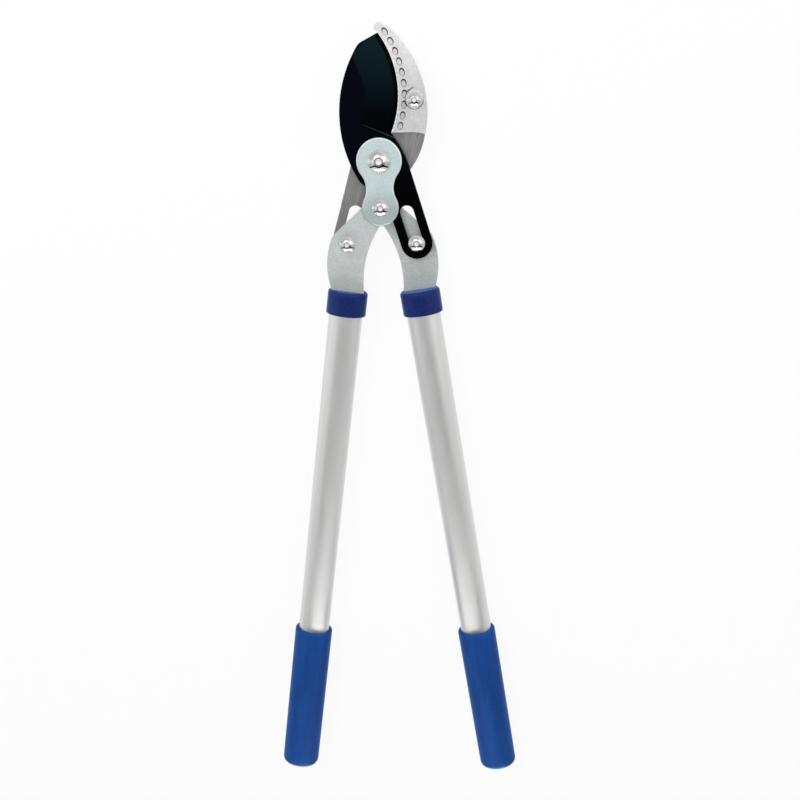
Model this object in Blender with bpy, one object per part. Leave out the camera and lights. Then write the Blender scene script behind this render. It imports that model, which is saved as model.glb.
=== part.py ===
# Two-handed lopper with a black cutting blade, a cast anvil jaw and two pairs of pivoted levers.
# It lies flat: X runs across the tool, +Y points to the jaws and +Z is up, towards the bolt heads.
# Lengths are in metres and angles in degrees. Every plate is drawn about the pivot that it turns on.

import math

import bmesh
import bpy
from mathutils import Vector

# Clearances and the pack of plates
gap = 0.0003
layer_thickness = 0.0050
link_thickness = 0.0036
plate_rim = 0.0005
link_rim = 0.0008

# Link plates, shaped like a bone round the main pivot and the handle pivot
pivot_spacing = 0.0400
link_top_radius = 0.0198
link_bottom_radius = 0.0161
link_waist_fillet = 0.0200

# Drive pins on the brackets, and the slotted tails that they push
drive_radius = 0.0450
drive_angle = 43.75
slot_lean = 16.6
slot_travel = 0.0286
slot_width = 0.0123
tail_half_width = 0.0140
lobe_radius = 0.0109
lobe_clearance = 0.0006

# Blade outline about the main pivot: tip, back, heel, hub, shoulder and cutting edge
edge_tip = (0.0019, 0.1044)
edge_root = (0.0108, 0.0228)
edge_radius = 0.0820
edge_bevel = 0.0034
edge_flat = 0.0006
edge_runout = 5
back_corner = (-0.0148, 0.0961)
back_round = 0.0110
back_start = (-0.0172, 0.0921)
back_middle = (-0.0330, 0.0338)
heel_bearing = -134.5
hub_radius = 0.0250
hub_end = -85
scallop_start = 72
shoulder_along = 0.0630
shoulder_bulge = 0.0018

# Anvil jaw outline about the main pivot, a casting that wraps over the arm
jaw_outer_top = (0.0095, 0.1099)
jaw_outer_middle = (0.0386, 0.0667)
jaw_outer_foot = (0.0408, 0.0224)
jaw_face_top = 0.1052
jaw_foot_level = 0.0240
jaw_foot_wave = 0.0006
jaw_nose = (0.0032, 0.1083)
jaw_nose_round = 0.0045
jaw_nose_start = 205
jaw_nose_end = 52
jaw_face_height = 0.0070
jaw_lip = 0.0080
jaw_rim = 0.0007
scallop_depth = 0.00035
recess_count = 10
recess_lowest = 0.0287
recess_offset = 0.0050
recess_pitch = 0.00894
recess_width = 0.0052
recess_length = 0.0074
recess_depth = 0.0011
boss_radius = 0.0076
boss_height = 0.0006
anvil_screw_place = (0.0316, 0.0503)

# Arm under the jaw
arm_top = 0.0965
arm_inset = 0.0006
arm_side_middle = (0.0357, 0.0065)

# Handle brackets about the handle pivot, drawn for the left handle
bracket_shoulder = (-0.0440, -0.0252)
bracket_round = 0.0090
bracket_lobe_end = -70
bracket_outer_middle = (-0.0499, -0.0480)
bracket_inner_middle = (-0.0133, -0.0409)
bracket_foot_half = 0.0147
tang_half = 0.0098
tang_length = 0.0560

# Handles, down an axis that leans out from the middle of the tool, measured from the collar's top
handle_lean = 8.17
collar_reach = 0.0325
collar_drop = 0.0756
collar_length = 0.0222
collar_wall = 0.00255
collar_top = 0.0024
collar_round = 0.0028
collar_lip = 0.0005
collar_slot_side = 0.0010
tube_width = 0.0309
tube_depth = 0.0230
tube_wall = 0.0018
tube_start = 0.0050
tube_length = 0.5220
oval_power = 2.3
insert_length = 0.0660
tang_pin_drop = 0.0130
tang_pin_radius = 0.0020
grip_length = 0.1709
grip_wall = 0.0032
grip_floor = 0.0045
grip_round = 0.0070
grip_lip_round = 0.0026

# Bolts, with the bush that turns on the shank, the washer and the nut behind
main_shank = 0.0050
main_bush = 0.0071
main_head = 0.0098
main_head_height = 0.0046
main_washer = 0.0096
main_nut_flats = 0.0170
handle_shank = 0.0040
handle_bush = 0.0061
handle_head = 0.0075
handle_head_height = 0.0038
handle_washer = 0.0088
handle_nut_flats = 0.0130
drive_shank = 0.0030
drive_bush = 0.0056
drive_head = 0.0073
drive_head_height = 0.0038
drive_washer = 0.0082
drive_nut_flats = 0.0100
drive_nut_height = 0.0042
anvil_shank = 0.0025
anvil_head = 0.0060
anvil_head_height = 0.0032
anvil_nut_flats = 0.0080
anvil_nut_height = 0.0036
washer_thickness = 0.0012
bolt_end_recess = 0.0004
head_rim_share = 0.22
socket_share = 0.38
socket_depth_share = 0.55

# Smoothness of round stretches
arc_degrees = 15
arc_chord = 0.0070
round_sides = 20
dome_steps = 4
recess_sides = 12
scallop_steps = 2
pin_sides = 12
oval_sides = 32
jaw_foot_steps = 8

# Finishes: linear colour, roughness, metallic
finishes = {
    "coating": ((0.004, 0.007, 0.010), 0.38, 0.2),
    "arm": ((0.26, 0.26, 0.26), 0.42, 1.0),
    "casting": ((0.72, 0.72, 0.71), 0.45, 0.8),
    "link": ((0.50, 0.61, 0.61), 0.42, 0.8),
    "bracket": ((0.43, 0.48, 0.47), 0.55, 0.7),
    "bolt": ((0.85, 0.85, 0.86), 0.10, 1.0),
    "plating": ((0.60, 0.60, 0.58), 0.30, 1.0),
    "bronze": ((0.52, 0.33, 0.14), 0.35, 1.0),
    "collar": ((0.015, 0.023, 0.150), 0.25, 0.0),
    "tube": ((0.62, 0.62, 0.61), 0.32, 1.0),
    "insert": ((0.03, 0.03, 0.03), 0.50, 0.0),
    "grip": ((0.013, 0.060, 0.250), 0.50, 0.0),
}

# Heights of the faces of each plate, from the middle plane of the pack
front_low = gap / 2
front_high = front_low + layer_thickness
link_low = front_high + gap
link_high = link_low + link_thickness
drive_seat = front_high + gap
rest_level = -(tube_depth / 2 + gap + grip_wall)


def polar(center, radius, degrees):
    angle = math.radians(degrees)
    return (center[0] + radius * math.cos(angle), center[1] + radius * math.sin(angle))


def bearing(center, point):
    return math.degrees(math.atan2(point[1] - center[1], point[0] - center[0]))


def half_turn(degrees):
    return (degrees + 180) % 360 - 180


def arc(center, radius, start, end):
    span = abs(end - start)
    steps = max(2, math.ceil(span / arc_degrees), math.ceil(math.radians(span) * radius / arc_chord))
    return [polar(center, radius, start + (end - start) * i / steps) for i in range(steps + 1)]


def circle_through(a, b, c):
    ax, ay = a[0] - c[0], a[1] - c[1]
    bx, by = b[0] - c[0], b[1] - c[1]
    twice = 2 * (ax * by - ay * bx)
    x = (by * (ax * ax + ay * ay) - ay * (bx * bx + by * by)) / twice
    y = (ax * (bx * bx + by * by) - bx * (ax * ax + ay * ay)) / twice
    return (c[0] + x, c[1] + y), math.hypot(x, y)


def arc_through(a, b, c):
    center, radius = circle_through(a, b, c)
    start, middle, end = (bearing(center, point) for point in (a, b, c))
    turn = (end - start) % 360
    if (middle - start) % 360 > turn:
        turn -= 360
    return arc(center, radius, start, start + turn)


def bulge_center(a, b, radius):
    # Centre of the arc from a to b that bulges to the left of the way.
    way = Vector(b) - Vector(a)
    side = Vector((-way.y, way.x)).normalized()
    return tuple((Vector(a) + Vector(b)) / 2 - side * math.sqrt(radius ** 2 - (way.length / 2) ** 2))


def arc_between(a, b, radius):
    center = bulge_center(a, b, radius)
    start = bearing(center, a)
    return arc(center, radius, start, start + half_turn(bearing(center, b) - start))


def fillet(before, corner, after, radius):
    # Round stretch at a corner, tangent to both of its sides.
    inward = (Vector(before) - Vector(corner)).normalized()
    outward = (Vector(after) - Vector(corner)).normalized()
    half = inward.angle(outward) / 2
    center = Vector(corner) + (inward + outward).normalized() * (radius / math.sin(half))
    start = bearing(center, Vector(corner) + inward * (radius / math.tan(half)))
    end = bearing(center, Vector(corner) + outward * (radius / math.tan(half)))
    return arc(center, radius, start, start + half_turn(end - start))


def mirrored(points):
    return [(-point[0], point[1]) for point in reversed(points)]


def spaced(points, least=0.0002):
    # The outline without points that almost meet.
    kept = []
    for point in points:
        if not kept or math.dist(point, kept[-1]) > least:
            kept.append(tuple(point))
    if math.dist(kept[0], kept[-1]) <= least:
        kept.pop()
    return kept


def make_material(name, colour, roughness, metallic):
    material = bpy.data.materials.new(name)
    material.use_nodes = True
    shader = material.node_tree.nodes["Principled BSDF"]
    shader.inputs["Base Color"].default_value = (*colour, 1)
    shader.inputs["Roughness"].default_value = roughness
    shader.inputs["Metallic"].default_value = metallic
    material.diffuse_color = (*colour, 1)
    return material


def add_object(name, mesh_data, parent, finish=None):
    mesh = bpy.data.meshes.new(name)
    bmesh.ops.recalc_face_normals(mesh_data, faces=mesh_data.faces)
    mesh_data.to_mesh(mesh)
    mesh_data.free()
    mesh.shade_smooth()
    mesh.set_sharp_from_angle(angle=math.radians(35))
    if finish:
        mesh.materials.append(make_material(name + "_finish", *finish))
    item = bpy.data.objects.new(name, mesh)
    bpy.context.scene.collection.objects.link(item)
    item.parent = parent
    return item


def add_pivot(name, place, parent=None, turn=0):
    pivot = bpy.data.objects.new(name, None)
    pivot.location = (place[0], place[1], 0)
    pivot.rotation_euler.z = math.radians(turn)
    pivot.empty_display_size = 0.02
    pivot.parent = parent
    bpy.context.scene.collection.objects.link(pivot)
    return pivot


def add_prism(mesh_data, outline, low, high):
    face = mesh_data.faces.new([mesh_data.verts.new((x, y, low)) for x, y in outline])
    raised = bmesh.ops.extrude_face_region(mesh_data, geom=[face])["geom"]
    verts = [part for part in raised if isinstance(part, bmesh.types.BMVert)]
    bmesh.ops.translate(mesh_data, verts=verts, vec=(0, 0, high - low))


def plate(name, outline, low, high, parent, finish, rim=0.0):
    # A flat solid between two heights, with its edges broken on both faces by the rim.
    mesh_data = bmesh.new()
    add_prism(mesh_data, spaced(outline), low, high)
    item = add_object(name, mesh_data, parent, finish)
    if rim:
        bevel = item.modifiers.new("rim", "BEVEL")
        bevel.width = rim
        bevel.segments = 1
        bevel.limit_method = "ANGLE"
        bevel.angle_limit = math.radians(50)
    return item


def as_cutter(item):
    item.hide_render = True
    item.display_type = "WIRE"
    return item


def cutter(name, outlines, low, high, parent):
    mesh_data = bmesh.new()
    for outline in outlines:
        add_prism(mesh_data, outline, low, high)
    return as_cutter(add_object(name, mesh_data, parent))


def combine(item, other, operation="DIFFERENCE"):
    boolean = item.modifiers.new(operation.lower() + "_" + other.name, "BOOLEAN")
    boolean.operation = operation
    boolean.object = other


def ring(radius, sides=round_sides):
    return [polar((0, 0), radius, 360 * i / sides) for i in range(sides)]


def bore(item, radius, low, high):
    # A round hole on the axis that the piece is drawn about.
    combine(item, cutter(item.name + "_bore", [ring(radius)], low - gap, high + gap, item.parent))


def disc(name, radius, hole, low, high, parent, finish):
    item = plate(name, ring(radius), low, high, parent, finish)
    bore(item, hole, low, high)
    return item


def nut(name, flats, hole, low, high, parent, finish):
    # A hexagon with its corners turned off on the outer face.
    item = plate(name, ring(flats / math.sqrt(3), 6), low, high, parent, finish)
    corner = flats * 0.6
    turned_off = turned([(0, low), (flats * 0.485, low), (corner, low + corner - flats * 0.485),
                         (corner, high + gap), (0, high + gap)])
    combine(item, as_cutter(add_object(name + "_corners", turned_off, parent)), "INTERSECT")
    bore(item, hole, low, high)
    return item


def turned(profile, sides=round_sides):
    # A closed body turned about Z from (radius, height) points that start and end on the axis.
    mesh_data = bmesh.new()
    verts = [mesh_data.verts.new((radius, 0, height)) for radius, height in profile]
    edges = [mesh_data.edges.new(pair) for pair in zip(verts, verts[1:])]
    bmesh.ops.spin(mesh_data, geom=verts + edges, axis=(0, 0, 1), cent=(0, 0, 0),
                   angle=math.tau, steps=sides, use_merge=True)
    bmesh.ops.remove_doubles(mesh_data, verts=mesh_data.verts, dist=1e-7)
    return mesh_data


def bolt(name, shank, head, height, seat, end, parent, finish):
    # Domed head with a flat rim and a hexagon socket, on a plain shank with a broken end.
    rim = height * head_rim_share
    profile = [(0, end), (shank - plate_rim, end), (shank, end + plate_rim), (shank, seat), (head, seat)]
    for i in range(dome_steps):
        angle = math.pi / 2 * i / dome_steps
        profile.append((head * math.cos(angle), seat + rim + (height - rim) * math.sin(angle)))
    profile.append((0, seat + height))
    item = add_object(name, turned(profile), parent, finish)
    floor = seat + height * (1 - socket_depth_share)
    socket = ring(head * socket_share, 6)
    combine(item, cutter(name + "_socket", [socket], floor, seat + height + gap, parent))
    return item


def loft(name, sections, parent, finish=None, through=False):
    # Rings joined in turn. A sleeve that is open right through joins its last ring to its first.
    mesh_data = bmesh.new()
    rings = [[mesh_data.verts.new(point) for point in section] for section in sections]
    pairs = list(zip(rings, rings[1:])) + ([(rings[-1], rings[0])] if through else [])
    for first, second in pairs:
        for i in range(len(first)):
            j = (i + 1) % len(first)
            mesh_data.faces.new((first[i], first[j], second[j], second[i]))
    if not through:
        mesh_data.faces.new(rings[0])
        mesh_data.faces.new(rings[-1])
    return add_object(name, mesh_data, parent, finish)


def oval(wall, drop):
    # Section round the handle tube, a wall outside it, or inside it where the wall is negative.
    points = []
    for i in range(oval_sides):
        angle = math.tau * i / oval_sides
        across = math.copysign(abs(math.cos(angle)) ** (2 / oval_power), math.cos(angle))
        up = math.copysign(abs(math.sin(angle)) ** (2 / oval_power), math.sin(angle))
        points.append(((tube_width / 2 + wall) * across, -drop, (tube_depth / 2 + wall) * up))
    return points


def rounded_end(wall, drop, radius, way, steps):
    # Sections that turn an outer wall in over its end, which points along the way (1 or -1).
    sections = []
    for i in range(steps + 1):
        angle = math.pi / 2 * i / steps
        inset = radius * (1 - math.cos(angle))
        sections.append(oval(wall - inset, drop - way * radius * (1 - math.sin(angle))))
    return sections


# Places of the drive pins from the handle pivot, and the tail that each one pushes from the main pivot
drive_pin = polar((0, 0), drive_radius, drive_angle - 90)
tail_end = (drive_pin[0], drive_pin[1] - pivot_spacing)
tail_way = Vector(polar((0, 0), 1, 90 + slot_lean))
tail_side = Vector(polar((0, 0), 1, slot_lean))
edge_center = bulge_center(edge_tip, edge_root, edge_radius)


def beside_tail(along, across):
    # A point measured up the tail from the drive pin, and across it to the outer side.
    return tuple(Vector(tail_end) + tail_way * along + tail_side * across)


def tail_outline():
    # From the heel round the hub, past the bracket's lobe, down the tail and up to the shoulder.
    lobe = (0, -pivot_spacing)
    scallop = lobe_radius + lobe_clearance
    inner_low = beside_tail(0, -tail_half_width)
    foot = Vector(inner_low) + tail_way * tail_way.dot(Vector(lobe) - Vector(inner_low))
    reach = math.sqrt(max(scallop ** 2 - (foot - Vector(lobe)).length ** 2, 0))
    points = arc((0, 0), hub_radius, heel_bearing, hub_end)
    points += arc(lobe, scallop, scallop_start, bearing(lobe, foot - tail_way * reach))
    points += arc(tail_end, tail_half_width, slot_lean - 180, slot_lean)
    shoulder = beside_tail(shoulder_along, tail_half_width)
    chord = math.dist(shoulder, edge_root)
    radius = (chord ** 2 / 4 + shoulder_bulge ** 2) / (2 * shoulder_bulge)
    return points + arc_between(edge_root, shoulder, radius)[::-1]


def slot_outline():
    top = beside_tail(slot_travel, 0)
    return (arc(top, slot_width / 2, slot_lean, slot_lean + 180)
            + arc(tail_end, slot_width / 2, slot_lean + 180, slot_lean + 360))


def blade_outline():
    heel = polar((0, 0), hub_radius, heel_bearing)
    points = [edge_tip] + fillet(edge_tip, back_corner, back_start, back_round)
    points += arc_through(back_start, back_middle, heel)
    points += tail_outline()
    return points + arc_between(edge_tip, edge_root, edge_radius)[::-1]


def jaw_outer(inset):
    # Outer side of the jaw, from its top to its foot.
    points = arc_through(jaw_outer_top, jaw_outer_middle, jaw_outer_foot)
    center, radius = circle_through(jaw_outer_top, jaw_outer_middle, jaw_outer_foot)
    return [polar(center, radius - inset, bearing(center, point)) for point in points]


def edge_bearing(level, radius):
    return math.degrees(math.asin((level - edge_center[1]) / radius))


def jaw_outline():
    # The working face is lightly scalloped, with one hollow beside each recess.
    face = edge_radius + gap
    foot, top = edge_bearing(jaw_foot_level, face), edge_bearing(jaw_face_top, face)
    steps = math.ceil(math.radians(top - foot) * face / recess_pitch) * scallop_steps
    points = []
    for i in range(steps + 1):
        turn = foot + (top - foot) * i / steps
        wave = math.sin(math.radians(turn - foot) * face / recess_pitch * math.pi) ** 2
        points.append(polar(edge_center, face + scallop_depth * wave, turn))
    points += arc(jaw_nose, jaw_nose_round, jaw_nose_start, jaw_nose_end)
    points += jaw_outer(0)
    left, right = points[0][0], points[-1][0]
    for i in range(1, jaw_foot_steps):
        share = i / jaw_foot_steps
        drop = (jaw_foot_level - jaw_outer_foot[1]) * (1 - share) ** 4
        wave = jaw_foot_wave * math.sin(math.tau * share)
        points.append((right + (left - right) * share, jaw_foot_level + wave - drop))
    return points


def arm_outline():
    # The slotted tail on the left, the hub, and the plate that carries the jaw.
    lip = edge_radius + gap + jaw_lip + gap
    shelf = jaw_foot_level - jaw_foot_wave - 2 * gap
    outer = [point for point in reversed(jaw_outer(arm_inset)) if point[1] < arm_top]
    points = mirrored(tail_outline())
    points += arc_through(points[-1], arm_side_middle, outer[0])[1:-1] + outer
    points += arc(edge_center, lip, edge_bearing(arm_top, lip), edge_bearing(shelf, lip))
    return points


def arm_pocket():
    # Space for the arm behind the jaw, closed towards the blade and the nose.
    lip = edge_radius + gap + jaw_lip
    beyond = jaw_outer_middle[0] + jaw_lip
    points = arc(edge_center, lip, edge_bearing(-hub_radius, lip), edge_bearing(arm_top + gap, lip))
    return points + [(beyond, arm_top + gap), (beyond, -hub_radius)]


def jaw_recesses():
    # A row of blind ovals beside the working face, each with its long side along the face.
    outlines = []
    middle = edge_radius + recess_offset
    for i in range(recess_count):
        turn = edge_bearing(recess_lowest, middle) + math.degrees(recess_pitch / middle) * i
        center = Vector(polar(edge_center, middle, turn))
        along, across = (Vector(polar((0, 0), 1, turn + side)) for side in (90, 0))
        outlines.append([center + along * point[0] * recess_length + across * point[1] * recess_width
                         for point in ring(0.5, recess_sides)])
    return outlines


def link_outline():
    # Two lobes joined by a waist, about the handle pivot.
    reach_top, reach_low = (radius + link_waist_fillet for radius in (link_top_radius, link_bottom_radius))
    level = (reach_low ** 2 - reach_top ** 2 + pivot_spacing ** 2) / (2 * pivot_spacing)
    side = (math.sqrt(reach_low ** 2 - level ** 2), level)
    other = (-side[0], level)
    top, low = (0, pivot_spacing), (0, 0)
    turn_top, turn_low = bearing(top, side), bearing(low, side)
    points = arc(top, link_top_radius, turn_top, 180 - turn_top)
    points += arc(other, link_waist_fillet, -turn_top, -turn_low)
    points += arc(low, link_bottom_radius, 180 - turn_low, 360 + turn_low)
    return points + arc(side, link_waist_fillet, turn_low + 180, turn_top + 180)


def handle_point(along, across):
    # A point of the left handle, measured down its axis from the collar and towards the middle.
    lean = math.radians(handle_lean)
    return (-collar_reach - math.sin(lean) * along + math.cos(lean) * across,
            -collar_drop - math.cos(lean) * along - math.sin(lean) * across)


def bracket_outline():
    # Left bracket: outer side, lobe round the handle pivot, inner side and the tang in the tube.
    shoulder_drop = tube_start - gap
    outer = arc_through(handle_point(0, -bracket_foot_half), bracket_outer_middle, bracket_shoulder)
    touch = bearing((0, 0), bracket_shoulder) % 360
    touch -= math.degrees(math.acos(lobe_radius / math.hypot(*bracket_shoulder)))
    points = outer[:-1] + fillet(outer[-2], bracket_shoulder, polar((0, 0), lobe_radius, touch), bracket_round)
    points += arc((0, 0), lobe_radius, touch, bracket_lobe_end)
    points += arc_through(points[-1], bracket_inner_middle, handle_point(0, bracket_foot_half))
    tang_end = shoulder_drop + tang_length
    points += [handle_point(shoulder_drop, bracket_foot_half), handle_point(shoulder_drop, tang_half)]
    points += [handle_point(tang_end, tang_half), handle_point(tang_end, -tang_half)]
    return points + [handle_point(shoulder_drop, -tang_half), handle_point(shoulder_drop, -bracket_foot_half)]


def box_outline(half_width, top, bottom):
    return [(-half_width, -top), (-half_width, -bottom), (half_width, -bottom), (half_width, -top)]


def edge_wedge(name, side, parent):
    # Ground bevel along one face of the cutting edge, swept about the middle of its arc.
    middle = (front_low + front_high) / 2
    rise = (layer_thickness / 2 - edge_flat / 2) / edge_bevel
    inner, outer = edge_radius - edge_bevel * 1.5, edge_radius + edge_bevel * 0.5
    heights = [edge_flat / 2 + rise * (edge_radius - radius) for radius in (inner, outer)]
    profile = [(inner, heights[0]), (outer, heights[1]), (outer, heights[0])]
    start, end = bearing(edge_center, edge_root), bearing(edge_center, edge_tip) + edge_runout
    steps = math.ceil(math.radians(end - start) * edge_radius / arc_chord)
    sections = []
    for i in range(steps + 1):
        turn = start + (end - start) * i / steps
        sections.append([(*polar(edge_center, radius, turn), middle + side * height) for radius, height in profile])
    return as_cutter(loft(name, sections, parent))


def build_blade(parent):
    blade = plate("cutting_blade", blade_outline(), front_low, front_high, parent, finishes["coating"], plate_rim)
    for name, side in (("front_bevel", 1), ("rear_bevel", -1)):
        combine(blade, edge_wedge(name, side, parent))
    combine(blade, cutter("blade_slot", [slot_outline()], front_low - gap, front_high + gap, parent))
    bore(blade, main_bush + gap, front_low, front_high)


def build_arm(parent):
    arm = plate("anvil_arm", arm_outline(), -front_high, -front_low, parent, finishes["arm"], plate_rim)
    combine(arm, cutter("arm_slot", [mirrored(slot_outline())], -front_high - gap, -front_low + gap, parent))
    bore(arm, main_bush + gap, -front_high, -front_low)

    jaw = plate("anvil_jaw", jaw_outline(), -front_high, jaw_face_height, parent, finishes["casting"], jaw_rim)
    combine(jaw, cutter("jaw_pocket", [arm_pocket()], -front_high - gap, front_low, parent))
    floor = jaw_face_height - recess_depth
    combine(jaw, cutter("jaw_recesses", jaw_recesses(), floor, jaw_face_height + gap, parent))

    screw_axis = add_pivot("anvil_screw_axis", anvil_screw_place, parent)
    seat = jaw_face_height + boss_height
    boss = plate("jaw_boss", ring(boss_radius), front_low + gap, seat, screw_axis, None)
    combine(jaw, as_cutter(boss), "UNION")
    hole = cutter("anvil_screw_hole", [ring(anvil_shank + gap)], -front_high - gap, seat + gap, screw_axis)
    combine(jaw, hole)
    combine(arm, hole)
    nut_face = -front_high - gap
    end = nut_face - anvil_nut_height + bolt_end_recess
    bolt("anvil_screw", anvil_shank, anvil_head, anvil_head_height, seat + gap, end, screw_axis, finishes["bolt"])
    nut("anvil_nut", anvil_nut_flats, anvil_shank + gap, nut_face - anvil_nut_height, nut_face, screw_axis,
        finishes["plating"])


def build_pivot(name, sizes, parent):
    # Bolt through both link plates, with the bush that the plates between them turn on. The nut
    # comes down to the level of the grips, so that the tool lies flat on both.
    shank, bush, head, height, washer, flats = sizes
    washer_face = -link_high - gap
    nut_face = washer_face - washer_thickness - gap
    bolt(name + "_bolt", shank, head, height, link_high + gap, rest_level + bolt_end_recess, parent,
         finishes["bolt"])
    disc(name + "_bush", bush, shank + gap, -front_high, front_high, parent, finishes["bronze"])
    disc(name + "_washer", washer, shank + gap, washer_face - washer_thickness, washer_face, parent,
         finishes["plating"])
    nut(name + "_nut", flats, shank + gap, rest_level, nut_face, parent, finishes["plating"])


def build_links(parent, main_axis):
    reach = link_high + gap
    holes = [cutter("main_shank_hole", [ring(main_shank + gap)], -reach, reach, main_axis),
             cutter("handle_shank_hole", [ring(handle_shank + gap)], -reach, reach, parent)]
    for name, low, high in (("front", link_low, link_high), ("rear", -link_high, -link_low)):
        link = plate(name + "_link_plate", link_outline(), low, high, parent, finishes["link"], link_rim)
        for hole in holes:
            combine(link, hole)


def build_handle(side, parent):
    # The left handle lies in the front layer and the right one in the rear layer.
    name = "left" if side < 0 else "right"
    low, high = (front_low, front_high) if side < 0 else (-front_high, -front_low)
    outline = bracket_outline() if side < 0 else mirrored(bracket_outline())
    bracket = plate(name + "_bracket", outline, low, high, parent, finishes["bracket"], plate_rim)
    bore(bracket, handle_bush + gap, low, high)

    drive_axis = add_pivot(name + "_drive_axis", (side * drive_pin[0], drive_pin[1]), parent)
    combine(bracket, cutter(name + "_drive_hole", [ring(drive_shank + gap)], low - gap, high + gap, drive_axis))
    nut_face = -drive_seat - washer_thickness - gap
    end = nut_face - drive_nut_height + bolt_end_recess
    bolt(name + "_drive_bolt", drive_shank, drive_head, drive_head_height, drive_seat, end, drive_axis,
         finishes["bolt"])
    disc(name + "_drive_bush", drive_bush, drive_shank + gap, -high, -low, drive_axis, finishes["bronze"])
    disc(name + "_drive_washer", drive_washer, drive_shank + gap, -drive_seat - washer_thickness, -drive_seat,
         drive_axis, finishes["plating"])
    nut(name + "_drive_nut", drive_nut_flats, drive_shank + gap, nut_face - drive_nut_height, nut_face,
        drive_axis, finishes["plating"])
    axis = add_pivot(name + "_handle_axis", (side * collar_reach, -collar_drop), parent, side * handle_lean)
    build_shaft(name, low, high, bracket, axis)


def build_shaft(name, low, high, bracket, axis):
    # Collar, tube, insert, cross pin and grip, drawn down the handle's own axis from the collar's top.
    tube_end = tube_start + tube_length
    tube = loft(name + "_tube", [oval(0, tube_start), oval(0, tube_end), oval(-tube_wall, tube_end),
                                 oval(-tube_wall, tube_start)], axis, finishes["tube"], through=True)
    fit = -tube_wall - gap
    insert = loft(name + "_tube_insert", [oval(fit, tube_start), oval(fit, tube_start + insert_length)], axis,
                  finishes["insert"])
    pocket = box_outline(tang_half + gap, 0, tube_start + tang_length + gap)
    combine(insert, cutter(name + "_pocket", [pocket], low - gap, high + gap, axis))

    pin_axis = add_pivot(name + "_tang_pin_axis", (0, -tang_pin_drop), axis)
    reach = tube_depth / 2
    hole = cutter(name + "_pin_hole", [ring(tang_pin_radius + gap, pin_sides)], -reach * 2, reach * 2, pin_axis)
    for item in (tube, insert, bracket):
        combine(item, hole)
    plate(name + "_tang_pin", ring(tang_pin_radius, pin_sides), -reach, reach, pin_axis, finishes["plating"])

    outer = gap + collar_wall
    sections = [oval(gap, collar_top), oval(gap, collar_length), oval(outer - collar_lip, collar_length)]
    sections += [oval(outer, collar_length - collar_lip)] + rounded_end(outer, 0, collar_round, -1, 3)
    collar = loft(name + "_collar", sections, axis, finishes["collar"])
    slot = box_outline(bracket_foot_half + collar_slot_side, -gap, collar_top + gap)
    combine(collar, cutter(name + "_collar_slot", [slot], low - 2 * gap, high + 2 * gap, axis))

    outer = gap + grip_wall
    floor = tube_end + gap
    grip_end = floor + grip_floor
    grip_start = grip_end - grip_length
    sections = [oval(gap, floor), oval(gap, grip_start)]
    sections += rounded_end(outer, grip_start, grip_lip_round, -1, 2)[::-1]
    sections += rounded_end(outer, grip_end, grip_round, 1, 4)
    loft(name + "_grip", sections, axis, finishes["grip"])


def rest_on_floor(tool):
    # The origin is under the middle of the tool, on the surface that it lies on.
    bpy.context.view_layer.update()
    graph = bpy.context.evaluated_depsgraph_get()
    corners = []
    for item in bpy.data.objects:
        if item.type == "MESH" and not item.hide_render:
            solid = item.evaluated_get(graph)
            corners += [solid.matrix_world @ vert.co for vert in solid.data.vertices]
    low, high = ([end(corner[axis] for corner in corners) for axis in range(3)] for end in (min, max))
    tool.location = (-(low[0] + high[0]) / 2, -(low[1] + high[1]) / 2, -low[2])
    bpy.context.view_layer.update()


def build_lopper():
    for item in list(bpy.data.objects):
        bpy.data.objects.remove(item)
    tool = add_pivot("lopper", (0, 0))
    main_axis = add_pivot("main_axis", (0, pivot_spacing), tool)
    build_links(tool, main_axis)
    build_pivot("main_pivot", (main_shank, main_bush, main_head, main_head_height, main_washer, main_nut_flats),
                main_axis)
    build_pivot("handle_pivot", (handle_shank, handle_bush, handle_head, handle_head_height, handle_washer,
                                 handle_nut_flats), tool)
    build_blade(add_pivot("blade_pivot", (0, pivot_spacing), tool))
    build_arm(add_pivot("arm_pivot", (0, pivot_spacing), tool))
    for side, name in ((-1, "left_handle_pivot"), (1, "right_handle_pivot")):
        build_handle(side, add_pivot(name, (0, 0), tool))
    rest_on_floor(tool)


build_lopper()
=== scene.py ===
import math

import bmesh
import bpy
from mathutils import Matrix, Vector


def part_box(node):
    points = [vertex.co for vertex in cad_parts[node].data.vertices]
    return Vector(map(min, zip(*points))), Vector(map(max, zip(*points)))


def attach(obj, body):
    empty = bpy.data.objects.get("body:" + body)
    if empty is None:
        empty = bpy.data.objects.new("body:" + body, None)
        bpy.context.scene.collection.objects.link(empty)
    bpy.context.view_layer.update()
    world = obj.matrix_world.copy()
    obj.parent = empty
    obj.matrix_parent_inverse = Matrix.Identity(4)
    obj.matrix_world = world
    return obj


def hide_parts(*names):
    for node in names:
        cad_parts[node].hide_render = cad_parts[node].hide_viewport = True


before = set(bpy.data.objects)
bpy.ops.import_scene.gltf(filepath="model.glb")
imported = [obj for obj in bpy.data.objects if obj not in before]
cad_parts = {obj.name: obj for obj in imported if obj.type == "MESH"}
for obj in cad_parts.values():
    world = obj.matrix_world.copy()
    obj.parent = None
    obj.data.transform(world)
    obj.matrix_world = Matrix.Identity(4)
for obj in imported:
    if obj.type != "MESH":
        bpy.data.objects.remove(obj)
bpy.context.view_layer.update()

# Lopper dressed over its packed plates. Each piece is drawn about one of the two pivots or its own axis,
# from the middle plane of the pack, and then set down where the CAD has it.


def centerOf(node):
    low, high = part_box(node)
    return (low + high) / 2


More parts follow.
